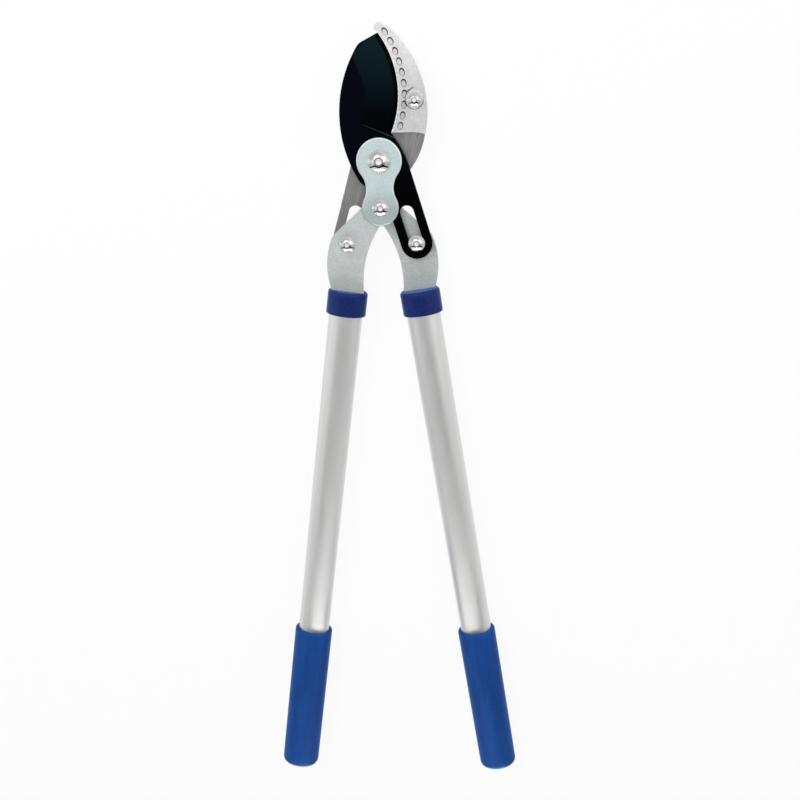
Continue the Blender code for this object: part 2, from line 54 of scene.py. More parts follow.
handlePlace = centerOf("handle_pivot_nut")
mainPlace = centerOf("main_pivot_nut")
midPlane = (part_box("cutting_blade")[0].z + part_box("anvil_arm")[1].z) / 2
origin = Vector((handlePlace.x, handlePlace.y, midPlane))
mainUp = mainPlace.y - handlePlace.y              # main pivot, up from the handle pivot
atHandlePivot = Matrix.Translation(origin)
atMainPivot = atHandlePivot @ Matrix.Translation((0, mainUp, 0))

stack = {"gap": 0.0003, "plate": 0.0050, "link": 0.0036}
plateLow = stack["gap"] / 2
plateHigh = plateLow + stack["plate"]
linkLow = plateHigh + stack["gap"]
linkHigh = linkLow + stack["link"]
past = 0.001                                      # how far a cutter runs past the faces that it cuts

# Bolts: radius and height of the head, radii of the shank and of its bush, and the nut across its flats
bolts = {
    "main_pivot": {"head": 0.0098, "height": 0.0046, "shank": 0.0050, "bush": 0.0071, "flats": 0.0170},
    "handle_pivot": {"head": 0.0075, "height": 0.0038, "shank": 0.0040, "bush": 0.0061, "flats": 0.0130},
    "left_drive": {"head": 0.0073, "height": 0.0038, "shank": 0.0030, "flats": 0.0100},
    "right_drive": {"head": 0.0073, "height": 0.0038, "shank": 0.0030, "flats": 0.0100},
    "anvil": {"head": 0.0060, "height": 0.0032, "shank": 0.0025, "flats": 0.0080},
}


def bore(name, part="shank"):
    # Radius of the hole round a bolt's shank, or round the bush on it.
    return bolts[name][part] + stack["gap"]


def plateLevels(side):
    # The blade and the left bracket lie above the middle plane, the arm and the right bracket below it.
    return (plateLow, plateHigh) if side < 0 else (-plateHigh, -plateLow)


# Flat drawing

def polar(center, radius, degrees):
    angle = math.radians(degrees)
    return (center[0] + radius * math.cos(angle), center[1] + radius * math.sin(angle))


def bearing(center, point):
    return math.degrees(math.atan2(point[1] - center[1], point[0] - center[0]))


def halfTurn(degrees):
    return (degrees + 180) % 360 - 180


def arc(center, radius, start, end, chord=0.0016):
    span = abs(end - start)
    steps = max(2, math.ceil(span / 6), math.ceil(math.radians(span) * radius / chord))
    return [polar(center, radius, start + (end - start) * i / steps) for i in range(steps + 1)]


def circleThrough(a, b, c):
    ax, ay, bx, by = a[0] - c[0], a[1] - c[1], b[0] - c[0], b[1] - c[1]
    twice = 2 * (ax * by - ay * bx)
    x = (by * (ax * ax + ay * ay) - ay * (bx * bx + by * by)) / twice
    y = (ax * (bx * bx + by * by) - bx * (ax * ax + ay * ay)) / twice
    return (c[0] + x, c[1] + y), math.hypot(x, y)


def arcThrough(a, b, c):
    center, radius = circleThrough(a, b, c)
    start, middle, end = (bearing(center, point) for point in (a, b, c))
    turn = (end - start) % 360
    if (middle - start) % 360 > turn:
        turn -= 360
    return arc(center, radius, start, start + turn)


def bulgeCenter(a, b, radius):
    way = Vector(b) - Vector(a)
    side = Vector((-way.y, way.x)).normalized()
    return tuple((Vector(a) + Vector(b)) / 2 - side * math.sqrt(radius ** 2 - (way.length / 2) ** 2))


def arcBetween(a, b, radius):
    center = bulgeCenter(a, b, radius)
    start = bearing(center, a)
    return arc(center, radius, start, start + halfTurn(bearing(center, b) - start))


def fillet(before, corner, after, radius):
    inward = (Vector(before) - Vector(corner)).normalized()
    outward = (Vector(after) - Vector(corner)).normalized()
    half = inward.angle(outward) / 2
    center = Vector(corner) + (inward + outward).normalized() * (radius / math.sin(half))
    start = bearing(center, Vector(corner) + inward * (radius / math.tan(half)))
    end = bearing(center, Vector(corner) + outward * (radius / math.tan(half)))
    return arc(center, radius, start, start + halfTurn(end - start))


def mirrored(points):
    return [(-point[0], point[1]) for point in reversed(points)]


def spaced(points, least=0.0002):
    kept = []
    for point in points:
        if not kept or math.dist(point, kept[-1]) > least:
            kept.append(tuple(point))
    if math.dist(kept[0], kept[-1]) <= least:
        kept.pop()
    return kept


def ring(radius, sides=64):
    return [polar((0, 0), radius, 360 * i / sides) for i in range(sides)]


# Solids

def solidFromMesh(bm, name="solid"):
    mesh = bpy.data.meshes.new(name)
    bmesh.ops.recalc_face_normals(bm, faces=bm.faces)
    bm.to_mesh(mesh)
    bm.free()
    item = bpy.data.objects.new(name, mesh)
    bpy.context.scene.collection.objects.link(item)
    return item


def prism(outline, low, high):
    bm = bmesh.new()
    face = bm.faces.new([bm.verts.new((point[0], point[1], low)) for point in spaced(outline)])
    raised = bmesh.ops.extrude_face_region(bm, geom=[face])["geom"]
    verts = [part for part in raised if isinstance(part, bmesh.types.BMVert)]
    bmesh.ops.translate(bm, verts=verts, vec=(0, 0, high - low))
    return solidFromMesh(bm)


def through(outline, low, high):
    # Cutter that goes right through a plate.
    return prism(outline, low - past, high + past)


def drill(center, radius, low, high, sides=64):
    return through([(x + center[0], y + center[1]) for x, y in ring(radius, sides)], low, high)


def taperedPit(outline, center, low, high, spread, lean):
    # A pit cutter that widens from its floor to its mouth, with the floor moved by the lean.
    bm = bmesh.new()
    floor = [bm.verts.new((center[0] + (x - center[0]) * (1 - spread) + lean[0],
                           center[1] + (y - center[1]) * (1 - spread) + lean[1], low)) for x, y in outline]
    mouth = [bm.verts.new((x, y, high)) for x, y in outline]
    bm.faces.new(floor)
    bm.faces.new(mouth)
    for i in range(len(outline)):
        j = (i + 1) % len(outline)
        bm.faces.new((floor[i], floor[j], mouth[j], mouth[i]))
    return solidFromMesh(bm)


def turned(profile, sides=64):
    bm = bmesh.new()
    verts = [bm.verts.new((radius, 0, height)) for radius, height in profile]
    edges = [bm.edges.new(pair) for pair in zip(verts, verts[1:])]
    bmesh.ops.spin(bm, geom=verts + edges, axis=(0, 0, 1), cent=(0, 0, 0), angle=math.tau, steps=sides,
                   use_merge=True)
    bmesh.ops.remove_doubles(bm, verts=bm.verts, dist=1e-7)
    return solidFromMesh(bm)


def loft(sections, closed=False):
    # Rings joined in turn, with a UV of metres round and along. A closed loft joins the last to the first.
    bm = bmesh.new()
    layer = bm.loops.layers.uv.new("wrap")
    rings = [[bm.verts.new(point) for point in section] for section in sections]
    around, along = [0.0], [0.0]
    for a, b in zip(sections[0], sections[0][1:] + sections[0][:1]):
        around.append(around[-1] + math.dist(a, b))
    for a, b in zip(sections, sections[1:] + sections[:1]):
        along.append(along[-1] + math.dist(a[0], b[0]))
    pairs = [(k, k + 1) for k in range(len(rings) - 1)] + ([(len(rings) - 1, 0)] if closed else [])
    for first, second in pairs:
        near, far = along[first], along[first + 1]
        for i in range(len(rings[0])):
            j = (i + 1) % len(rings[0])
            face = bm.faces.new((rings[first][i], rings[first][j], rings[second][j], rings[second][i]))
            corners = ((around[i], near), (around[i + 1], near), (around[i + 1], far), (around[i], far))
            for loop, corner in zip(face.loops, corners):
                loop[layer].uv = corner
    if not closed:
        bm.faces.new(rings[0])
        bm.faces.new(rings[-1])
    return solidFromMesh(bm)


def applied(item):
    graph = bpy.context.evaluated_depsgraph_get()
    mesh = bpy.data.meshes.new_from_object(item.evaluated_get(graph))
    item.modifiers.clear()
    old = item.data
    item.data = mesh
    bpy.data.meshes.remove(old)
    return item


def cut(item, tools, operation="DIFFERENCE"):
    for tool in tools:
        change = item.modifiers.new("cut", "BOOLEAN")
        change.operation = operation
        change.solver = "EXACT"
        change.object = tool
    applied(item)
    for tool in tools:
        bpy.data.objects.remove(tool)
    return item


def softened(item, width, segments=3, angle=32):
    # Edges rolled over, with flat faces kept flat.
    bm = bmesh.new()
    bm.from_mesh(item.data)
    bmesh.ops.dissolve_degenerate(bm, edges=bm.edges, dist=2e-6)
    bm.to_mesh(item.data)
    bm.free()
    item.data.shade_smooth()
    roll = item.modifiers.new("roll", "BEVEL")
    roll.width = width
    roll.segments = segments
    roll.limit_method = "ANGLE"
    roll.angle_limit = math.radians(angle)
    roll.miter_outer = "MITER_ARC"
    roll.harden_normals = True
    return applied(item)


def creased(item, angle=35):
    # Smooth shading that breaks at corners and stays flat on large faces.
    item.data.shade_smooth()
    item.data.set_sharp_from_angle(angle=math.radians(angle))
    weigh = item.modifiers.new("weigh", "WEIGHTED_NORMAL")
    weigh.weight = 90
    weigh.keep_sharp = True
    return applied(item)


def placed(item, name, place, material, body, slot, *nodes):
    # Gives the piece its finish, sets it down and lets it ride on its body.
    item.name = name
    item.data.name = name
    item.data.transform(place)
    item.data.update()
    item.data.materials.clear()
    item.data.materials.append(material)
    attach(item, body)
    if nodes:
        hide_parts(*nodes)


def painted(node, finish):
    # Gives a CAD solid that stays in the scene its finish.
    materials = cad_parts[node].data.materials
    materials.clear()
    materials.append(finishes[finish])


# Shader groups

class Nodes:
    # Small helper that adds, sets and joins nodes in one tree.
    def __init__(self, tree):
        self.tree = tree

    def add(self, kind, settings=None, **inputs):
        node = self.tree.nodes.new(kind)
        for key, value in (settings or {}).items():
            setattr(node, key, value)
        for key, value in inputs.items():
            self.feed(node, key.replace("_", " "), value)
        return node

    def feed(self, node, key, value):
        socket = node.inputs[int(key[1:]) if key[0] == "n" and key[1:].isdigit() else key]
        if isinstance(value, bpy.types.NodeSocket):
            self.tree.links.new(value, socket)
        else:
            socket.default_value = value

    def math(self, operation, a, b=0.0, clamp=False):
        node = self.add("ShaderNodeMath", {"operation": operation, "use_clamp": clamp}, n0=a, n1=b)
        return node.outputs[0]

    def plus(self, a, b):
        return self.math("ADD", a, b)

    def minus(self, a, b):
        return self.math("SUBTRACT", a, b)

    def times(self, a, b):
        return self.math("MULTIPLY", a, b)

    def over(self, a, b):
        return self.math("DIVIDE", a, b)

    def unsigned(self, a):
        return self.math("ABSOLUTE", a)

    def reach(self, x, y):
        return self.math("SQRT", self.plus(self.times(x, x), self.times(y, y)))

    def blend(self, amount, a, b, mode="MIX"):
        node = self.add("ShaderNodeMix", {"data_type": "RGBA", "blend_type": mode})
        for index, value in ((0, amount), (6, a), (7, b)):
            self.feed(node, f"n{index}", value)
        return node.outputs[2]

    def span(self, value, low, high, start=0.0, end=1.0):
        node = self.add("ShaderNodeMapRange", None, Value=value, From_Min=low, From_Max=high, To_Min=start,
                        To_Max=end)
        return node.outputs[0]

    def noise(self, vector, scale, detail, roughness=0.5):
        node = self.add("ShaderNodeTexNoise", None, Vector=vector, Scale=scale, Detail=detail,
                        Roughness=roughness)
        return node.outputs[0]

    def split(self, vector):
        return self.add("ShaderNodeSeparateXYZ", None, Vector=vector).outputs

    def join(self, x, y, z):
        return self.add("ShaderNodeCombineXYZ", None, X=x, Y=y, Z=z).outputs[0]


def newGroup(name, inputs, outputs):
    # Inputs come with their first values: none for a vector, four numbers for a colour, one for the rest.
    tree = bpy.data.node_groups.new(name, "ShaderNodeTree")
    for label, value in inputs.items():
        kind = "Vector" if value is None else "Color" if isinstance(value, tuple) else "Float"
        socket = tree.interface.new_socket(name=label, in_out="INPUT", socket_type="NodeSocket" + kind)
        if value is not None:
            socket.default_value = value
    for label, kind in outputs.items():
        tree.interface.new_socket(name=label, in_out="OUTPUT", socket_type="NodeSocket" + kind)
    nodes = Nodes(tree)
    return tree, nodes, nodes.add("NodeGroupInput").outputs, nodes.add("NodeGroupOutput")


plain = {"Vector": None, "Colour": (0.5, 0.5, 0.5, 1)}
surface = {"Colour": "Color", "Height": "Float", "Mask": "Float"}


speckleShape = {"broadSize": 0.16, "fine": 0.82, "broad": 0.18, "low": 0.36, "high": 0.64}
brushedShape = {"roughness": 0.6, "low": 0.34, "high": 0.66}
edgeBreakup = {"size": 260.0, "low": 0.35, "high": 0.70, "least": 0.45}
streakShape = {"along": 7.0, "size": 1.5, "low": 0.40, "high": 0.60}


def giveSurface(nodes, given, out, height, mask):
    # Blends in the tint by the mask and hands out the three values that a finish reads.
    amount = nodes.times(mask, given["Contrast"])
    nodes.feed(out, "Colour", nodes.blend(amount, given["Colour"], given["Tint"]))
    nodes.feed(out, "Height", height)
    nodes.feed(out, "Mask", mask)


def makeSpeckle():
    # Mottled tone with fine pits and a little broad unevenness, for blasted, cast and moulded skins.
    tree, nodes, given, out = newGroup("speckle", {
        **plain, "Tint": (0.4, 0.4, 0.4, 1), "Size": 900.0, "Contrast": 0.3}, surface)
    fine = nodes.noise(given["Vector"], given["Size"], 3.0)
    broad = nodes.noise(given["Vector"], nodes.times(given["Size"], speckleShape["broadSize"]), 2.0)
    mixed = nodes.plus(nodes.times(fine, speckleShape["fine"]), nodes.times(broad, speckleShape["broad"]))
    giveSurface(nodes, given, out, fine, nodes.span(mixed, speckleShape["low"], speckleShape["high"]))
    return tree


def makeBrushed():
    # Long fine lines along Y of the vector it is given.
    tree, nodes, given, out = newGroup("brushed", {
        **plain, "Tint": (0.4, 0.4, 0.4, 1), "Lines": 2200.0, "Length": 40.0, "Contrast": 0.4}, surface)
    parts = nodes.split(given["Vector"])
    stretched = nodes.join(nodes.times(parts[0], given["Lines"]), nodes.times(parts[1], given["Length"]),
                           nodes.times(parts[2], given["Lines"]))
    lines = nodes.noise(stretched, 1.0, 3.0, brushedShape["roughness"])
    giveSurface(nodes, given, out, lines, nodes.span(lines, brushedShape["low"], brushedShape["high"]))
    return tree


def makeEdgeWearAndHighlight():
    # Edges rubbed brighter and given a painted highlight, broken up by noise. The rim value comes from the
    # mesh.
    tree, nodes, given, out = newGroup("edgeWearAndHighlight", {
        **plain, "Worn": (0.8, 0.8, 0.8, 1), "Rim": 0.0, "Amount": 0.5},
        {"Colour": "Color", "Mask": "Float"})
    patches = nodes.noise(given["Vector"], edgeBreakup["size"], 4.0)
    broken = nodes.span(patches, edgeBreakup["low"], edgeBreakup["high"], edgeBreakup["least"], 1.0)
    mask = nodes.math("MULTIPLY", nodes.times(given["Rim"], broken), given["Amount"], clamp=True)
    nodes.feed(out, "Colour", nodes.blend(mask, given["Colour"], given["Worn"]))
    nodes.feed(out, "Mask", mask)
    return tree


def makeStreaks():
    # Broad soft streaks along a sleeve. Turns is in radians a metre, a full turn over the girth of the
    # sleeve's bore, so that the pattern closes on itself.
    tree, nodes, given, out = newGroup("streaks", {"Vector": None, "Turns": 71.58, "Low": 0.8},
                                       {"Shade": "Color"})
    parts = nodes.split(given["Vector"])
    turn = nodes.times(parts[0], given["Turns"])
    wrapped = nodes.join(nodes.math("COSINE", turn), nodes.math("SINE", turn),
                         nodes.times(parts[1], streakShape["along"]))
    shade = nodes.span(nodes.noise(wrapped, streakShape["size"], 3.0), streakShape["low"],
                       streakShape["high"], given["Low"], 1.0)
    nodes.feed(out, "Shade", nodes.join(shade, shade, shade))
    return tree


groups = {"speckle": makeSpeckle(), "brushed": makeBrushed(), "edgeWearAndHighlight": makeEdgeWearAndHighlight(),
          "streaks": makeStreaks()}
print("shader groups made")


# Marks that the finishes read from the mesh

rolled = {"low": 0.12, "high": 0.985}             # how much of its normal a rolled edge has along Z


def markFaces(item, name, measure):
    # A value from 0 to 1 on each face, which the finish reads by its name.
    marks = item.data.attributes.new(name, "FLOAT", "FACE")
    marks.data.foreach_set("value", [float(measure(face)) for face in item.data.polygons])


def markSlopes(item, name, base=1.0, across=0.0, up=0.0, least=0.0):
    # Rolled edges, by the way that they face: to the right and up the tool count by their shares.
    def share(face):
        onEdge = rolled["low"] < abs(face.normal.z) < rolled["high"]
        return onEdge * min(max(base + across * face.normal.x + up * face.normal.y, least), 1.0)

    markFaces(item, name, share)


# Finishes

def newMaterial(name, shader):
    material = bpy.data.materials.new(name)
    material.use_nodes = True
    nodes = Nodes(material.node_tree)
    principled = material.node_tree.nodes["Principled BSDF"]
    for key, value in shader.items():
        principled.inputs[key].default_value = value
    return material, nodes, principled, nodes.add("ShaderNodeTexCoord").outputs["Object"]


def useGroup(nodes, name, **inputs):
    node = nodes.add("ShaderNodeGroup", {"node_tree": groups[name]})
    for key, value in inputs.items():
        nodes.feed(node, key, value)
    return node.outputs


def grainOf(nodes, place, tone):
    return useGroup(nodes, "speckle", Vector=place, Colour=tone["colour"], Tint=tone["tint"],
                    Size=tone["size"], Contrast=tone["contrast"])


def wearAndHighlightOf(nodes, place, colour, tone):
    return useGroup(nodes, "edgeWearAndHighlight", Vector=place, Colour=colour, Worn=tone["worn"],
                    Rim=marked(nodes, "rim"), Amount=tone["wearAndHighlight"])


# How far the roughness goes below and above its middle, and how much smoother a rubbed edge is
roughSpread = {"blasted": (-0.05, 0.06), "brushed": (-0.06, 0.08), "polished": (0.0, 0.05),
               "moulded": (-0.04, 0.05)}
rubbed = 0.14


def roughOf(nodes, mask, tone, kind):
    less, more = roughSpread[kind]
    return nodes.span(mask, 0, 1, tone["rough"] + less, tone["rough"] + more)


def marked(nodes, name):
    return nodes.add("ShaderNodeAttribute", {"attribute_name": name}).outputs["Fac"]


def dressed(material, nodes, shader, colour, rough, height, tone):
    nodes.feed(shader, "Base Color", colour)
    nodes.feed(shader, "Roughness", rough)
    bump = nodes.add("ShaderNodeBump", None, Height=height, Distance=tone["depth"], Strength=1.0)
    nodes.feed(shader, "Normal", bump.outputs[0])
    return material


def sleeveWrap(nodes):
    return nodes.add("ShaderNodeUVMap", {"uv_map": "wrap"}).outputs[0]


def blastedSteel(name, tone):
    material, nodes, shader, place = newMaterial(name, {"Metallic": tone["metallic"],
                                                        "Specular IOR Level": tone["specular"]})
    grain = grainOf(nodes, place, tone)
    worn = wearAndHighlightOf(nodes, place, grain["Colour"], tone)
    colour = worn["Colour"]
    if "paintedShade" in tone:
        # Painted shade: darker where the mesh marks it, in the recesses and on edges that face away from
        # the light.
        colour = nodes.blend(nodes.times(marked(nodes, "paintedShade"), tone["shadeDarkening"]), colour, tone["paintedShade"])
    height = nodes.split(place)[1]
    if "low" in tone:
        # The lower end is a shade darker. On the blade and the jaw this is painted shade, where less light
        # is mirrored.
        fall = nodes.span(height, tone["fallFrom"], tone["fallTo"])
        colour = nodes.blend(fall, colour, tone["low"], "MULTIPLY")
    if "ground" in tone:
        # The ground face is painted a lighter teal, most at the tip: a painted reflection on the facet.
        rise = nodes.span(height, tone["groundFrom"], tone["groundTo"])
        tint = nodes.blend(rise, tone["deep"], tone["ground"])
        colour = nodes.blend(marked(nodes, "ground"), colour, tint)
    if "band" in tone:
        # The narrow bevel of the cutting edge, painted darker as painted shade.
        colour = nodes.blend(marked(nodes, "band"), colour, tone["band"])
    rough = nodes.minus(roughOf(nodes, grain["Mask"], tone, "blasted"), nodes.times(worn["Mask"], rubbed))
    return dressed(material, nodes, shader, colour, rough, grain["Height"], tone)


def brushedMetal(name, tone):
    material, nodes, shader, place = newMaterial(name, {"Metallic": tone["metallic"]})
    if "turn" in tone:
        turn = (0, 0, math.radians(tone["turn"]))
        place = nodes.add("ShaderNodeMapping", None, Vector=place, Rotation=turn).outputs[0]
    else:
        place = sleeveWrap(nodes)
    lines = useGroup(nodes, "brushed", Vector=place, Colour=tone["colour"], Tint=tone["tint"],
                     Lines=tone["lines"], Length=tone["length"], Contrast=tone["contrast"])
    colour = wearAndHighlightOf(nodes, place, lines["Colour"], tone)["Colour"]
    rough = roughOf(nodes, lines["Mask"], tone, "brushed")
    return dressed(material, nodes, shader, colour, rough, lines["Height"], tone)


def polishedMetal(name, tone):
    material, nodes, shader, place = newMaterial(name, {"Metallic": 1.0})
    grain = grainOf(nodes, place, {**tone, "size": 420.0, "contrast": 0.5})
    colour = grain["Colour"]
    rough = roughOf(nodes, grain["Mask"], tone, "polished")
    if "satin" in tone:
        # The floor of a key socket is pressed and stays pale and satin. Its outer corner is painted dark as
        # painted shade.
        socket = marked(nodes, "socket")
        colour = nodes.blend(socket, colour, tone["pressed"])
        colour = nodes.blend(marked(nodes, "paintedShade"), colour, tone["shadeDarkening"])
        rough = nodes.plus(rough, nodes.times(socket, tone["satin"]))
    return dressed(material, nodes, shader, colour, rough, grain["Height"], tone)


def mouldedSkin(name, tone):
    material, nodes, shader, place = newMaterial(name, {
        "Metallic": 0.0, "Coat Weight": tone["coat"], "Coat Roughness": tone["coatRough"],
        "Sheen Weight": tone["sheen"], "Sheen Roughness": 0.4, "Sheen Tint": tone["sheenTint"],
        "Specular IOR Level": tone["specular"]})
    grain = grainOf(nodes, place, tone)
    colour = grain["Colour"]
    if "streak" in tone:
        streaks = useGroup(nodes, "streaks", Vector=sleeveWrap(nodes), Low=tone["streak"])
        colour = nodes.blend(1.0, colour, streaks["Shade"], "MULTIPLY")
    rough = roughOf(nodes, grain["Mask"], tone, "moulded")
    return dressed(material, nodes, shader, colour, rough, grain["Height"], tone)


finishes = {
    # The coating's teal worn colour is a painted highlight on its edges, its ground colours are a painted
    # reflection, and its band and lower-end colours are painted shade.
    "coating": blastedSteel("blackCoating", {
        "colour": (0.0008, 0.0016, 0.0044, 1), "tint": (0.0004, 0.0009, 0.0026, 1), "size": 1500.0,
        "contrast": 0.7, "worn": (0.055, 0.090, 0.100, 1), "wearAndHighlight": 0.9, "metallic": 0.0, "specular": 0.020,
        "rough": 0.34, "depth": 0.00001, "ground": (0.0042, 0.0140, 0.0185, 1),
        "deep": (0.0003, 0.0007, 0.0016, 1), "groundFrom": mainPlace.y + 0.040,
        "groundTo": mainPlace.y + 0.106, "band": (0.0003, 0.0003, 0.0004, 1), "low": (0.35, 0.25, 0.15, 1),
        "fallFrom": mainPlace.y + 0.010, "fallTo": mainPlace.y - 0.030}),
    # The link's bright worn colour is a painted highlight on its upper edges, and its dark colour is
    # painted shade on its lower edges.
    "link": blastedSteel("satinLink", {
        "colour": (0.590, 0.693, 0.695, 1), "tint": (0.455, 0.545, 0.55, 1), "size": 700.0, "contrast": 0.7,
        "worn": (0.90, 0.94, 0.94, 1), "wearAndHighlight": 1.0, "metallic": 0.5, "specular": 0.5, "rough": 0.42,
        "paintedShade": (0.10, 0.11, 0.11, 1), "shadeDarkening": 0.9, "depth": 0.00002, "low": (0.74, 0.71, 0.70, 1),
        "fallFrom": handlePlace.y + 0.016, "fallTo": handlePlace.y - 0.004}),
    # The bracket's near-white worn colour is partly a painted highlight on its rolled edges.
    "bracket": blastedSteel("blastedBracket", {
        "colour": (0.572, 0.623, 0.617, 1), "tint": (0.387, 0.422, 0.416, 1), "size": 1000.0,
        "contrast": 0.85, "worn": (0.96, 1.0, 1.0, 1), "wearAndHighlight": 0.85, "metallic": 0.5, "specular": 0.5,
        "rough": 0.50, "depth": 0.00004, "low": (0.99, 0.97, 0.96, 1), "fallFrom": handlePlace.y - 0.010,
        "fallTo": handlePlace.y - 0.050}),
    # The jaw's near black is painted shadow in its recesses, its bright worn colour is partly a painted
    # highlight on its edges, and its darker lower end is painted shade.
    "casting": blastedSteel("castJaw", {
        "colour": (0.75, 0.75, 0.75, 1), "tint": (0.545, 0.545, 0.545, 1), "size": 700.0, "contrast": 0.6,
        "worn": (0.96, 0.96, 0.96, 1), "wearAndHighlight": 1.0, "metallic": 0.55, "specular": 0.5, "rough": 0.40,
        "paintedShade": (0.010, 0.010, 0.010, 1), "shadeDarkening": 0.97, "depth": 0.00004, "low": (0.82, 0.82, 0.82, 1),
        "fallFrom": mainPlace.y + 0.088, "fallTo": mainPlace.y + 0.058}),
    "arm": brushedMetal("brushedArm", {
        "colour": (0.290, 0.290, 0.284, 1), "tint": (0.153, 0.150, 0.146, 1), "lines": 1300.0,
        "length": 40.0, "contrast": 0.85, "turn": 16.6, "worn": (0.34, 0.34, 0.33, 1), "wearAndHighlight": 0.5,
        "metallic": 0.75, "rough": 0.46, "depth": 0.00003}),
    "tube": brushedMetal("satinTube", {
        "colour": (0.705, 0.705, 0.70, 1), "tint": (0.67, 0.67, 0.665, 1), "lines": 1500.0, "length": 5.0,
        "contrast": 0.5, "worn": (0.9, 0.9, 0.9, 1), "wearAndHighlight": 0.0, "metallic": 0.92, "rough": 0.352,
        "depth": 0.000001}),
    # The chrome's dark colour is painted shade in the corner of each key socket.
    "chrome": polishedMetal("brightChrome", {
        "colour": (0.62, 0.615, 0.61, 1), "tint": (0.57, 0.565, 0.56, 1), "rough": 0.045, "satin": 0.36,
        "pressed": (0.82, 0.82, 0.82, 1), "shadeDarkening": (0.05, 0.05, 0.05, 1), "depth": 0.000002}),
    "plating": polishedMetal("zincPlating", {
        "colour": (0.66, 0.67, 0.66, 1), "tint": (0.52, 0.53, 0.50, 1), "rough": 0.27, "depth": 0.00002}),
    "bronze": polishedMetal("bearingBronze", {
        "colour": (0.56, 0.36, 0.15, 1), "tint": (0.42, 0.27, 0.12, 1), "rough": 0.30, "depth": 0.00002}),
    "collar": mouldedSkin("blueCollar", {
        "colour": (0.0105, 0.021, 0.122, 1), "tint": (0.012, 0.026, 0.140, 1), "size": 700.0,
        "contrast": 0.6, "rough": 0.24, "coat": 0.05, "coatRough": 0.14, "sheen": 0.7,
        "sheenTint": (0.03, 0.38, 1.0, 1), "specular": 0.10, "depth": 0.000004}),
    "grip": mouldedSkin("blueSleeve", {
        "colour": (0.0085, 0.074, 0.335, 1), "tint": (0.010, 0.062, 0.290, 1), "size": 300.0,
        "contrast": 0.8, "rough": 0.46, "coat": 0.0, "coatRough": 0.3, "sheen": 0.5,
        "sheenTint": (0.03, 0.38, 1.0, 1), "specular": 0.10, "depth": 0.00003, "streak": 0.74}),
    "insert": mouldedSkin("blackInsert", {
        "colour": (0.012, 0.012, 0.013, 1), "tint": (0.02, 0.02, 0.021, 1), "size": 500.0, "contrast": 0.6,
        "rough": 0.5, "coat": 0.0, "coatRough": 0.3, "sheen": 0.0, "sheenTint": (1, 1, 1, 1),
        "specular": 0.4, "depth": 0.00003}),
}
print("finishes made")


# Tails that the drive pins push, drawn about the main pivot for the blade

tail = {
    "driveRadius": 0.0450,
    "driveAngle": 43.75,
    "lean": 16.6,
    "travel": 0.0286,
    "slotWidth": 0.0123,
    "halfWidth": 0.0140,
    "lobe": 0.0109,
    "lobeClear": 0.0006,
    "hub": 0.0250,
    "heel": -134.5,
    "hubEnd": -85,
    "scallopStart": 72,
    "shoulderAlong": 0.0630,
    "shoulderBulge": 0.0018,
}
drivePin = polar((0, 0), tail["driveRadius"], tail["driveAngle"] - 90)
tailEnd = (drivePin[0], drivePin[1] - mainUp)
tailWay = Vector(polar((0, 0), 1, 90 + tail["lean"]))
tailSide = Vector(polar((0, 0), 1, tail["lean"]))

blade = {
    "tip": (0.0019, 0.1044),
    "root": (0.0108, 0.0228),
    "radius": 0.0820,
    "bevel": 0.0047,
    "flat": 0.0006,
    "runout": 5,
    "backCorner": (-0.0148, 0.0961),
    "backRound": 0.0110,
    "backStart": (-0.0172, 0.0921),
    "backMiddle": (-0.0330, 0.0338),
    "roll": 0.0008,
    "ground": [(-0.0205, 0.0890), (-0.0150, 0.0735), (-0.0098, 0.0616), (-0.0110, 0.0532),
               (-0.0123, 0.0454), (-0.0156, 0.0317)],
    "groundFoot": (0.0120, 0.0205),
    "groundDepth": 0.0007,
    "groundPast": 0.006,
    "groundAbove": 0.002,
    "grindLine": 0.0010,
    "bandInset": 0.0004,
    "bandSlope": (0.5, 0.95),
    "groundSlope": (0.995, 0.99995),
    "wedge": (1.5, -0.5),
}
edgeCenter = bulgeCenter(blade["tip"], blade["root"], blade["radius"])


def besideTail(along, across):
    return tuple(Vector(tailEnd) + tailWay * along + tailSide * across)


def tailOutline():
    lobe = (0, -mainUp)
    scallop = tail["lobe"] + tail["lobeClear"]
    innerLow = besideTail(0, -tail["halfWidth"])
    foot = Vector(innerLow) + tailWay * tailWay.dot(Vector(lobe) - Vector(innerLow))
    reach = math.sqrt(max(scallop ** 2 - (foot - Vector(lobe)).length ** 2, 0))
    points = arc((0, 0), tail["hub"], tail["heel"], tail["hubEnd"])
    points += arc(lobe, scallop, tail["scallopStart"], bearing(lobe, foot - tailWay * reach))
    points += arc(tailEnd, tail["halfWidth"], tail["lean"] - 180, tail["lean"])
    shoulder = besideTail(tail["shoulderAlong"], tail["halfWidth"])
    bulge = tail["shoulderBulge"]
    radius = (math.dist(shoulder, blade["root"]) ** 2 / 4 + bulge ** 2) / (2 * bulge)
    return points + arcBetween(blade["root"], shoulder, radius)[::-1]


def slotOutline():
    half = tail["slotWidth"] / 2
    return (arc(besideTail(tail["travel"], 0), half, tail["lean"], tail["lean"] + 180)
            + arc(tailEnd, half, tail["lean"] + 180, tail["lean"] + 360))


def bladeOutline():
    heel = polar((0, 0), tail["hub"], tail["heel"])
    points = [blade["tip"]]
    points += fillet(blade["tip"], blade["backCorner"], blade["backStart"], blade["backRound"])
    points += arcThrough(blade["backStart"], blade["backMiddle"], heel)
    return points + tailOutline() + arcBetween(blade["tip"], blade["root"], blade["radius"])[::-1]


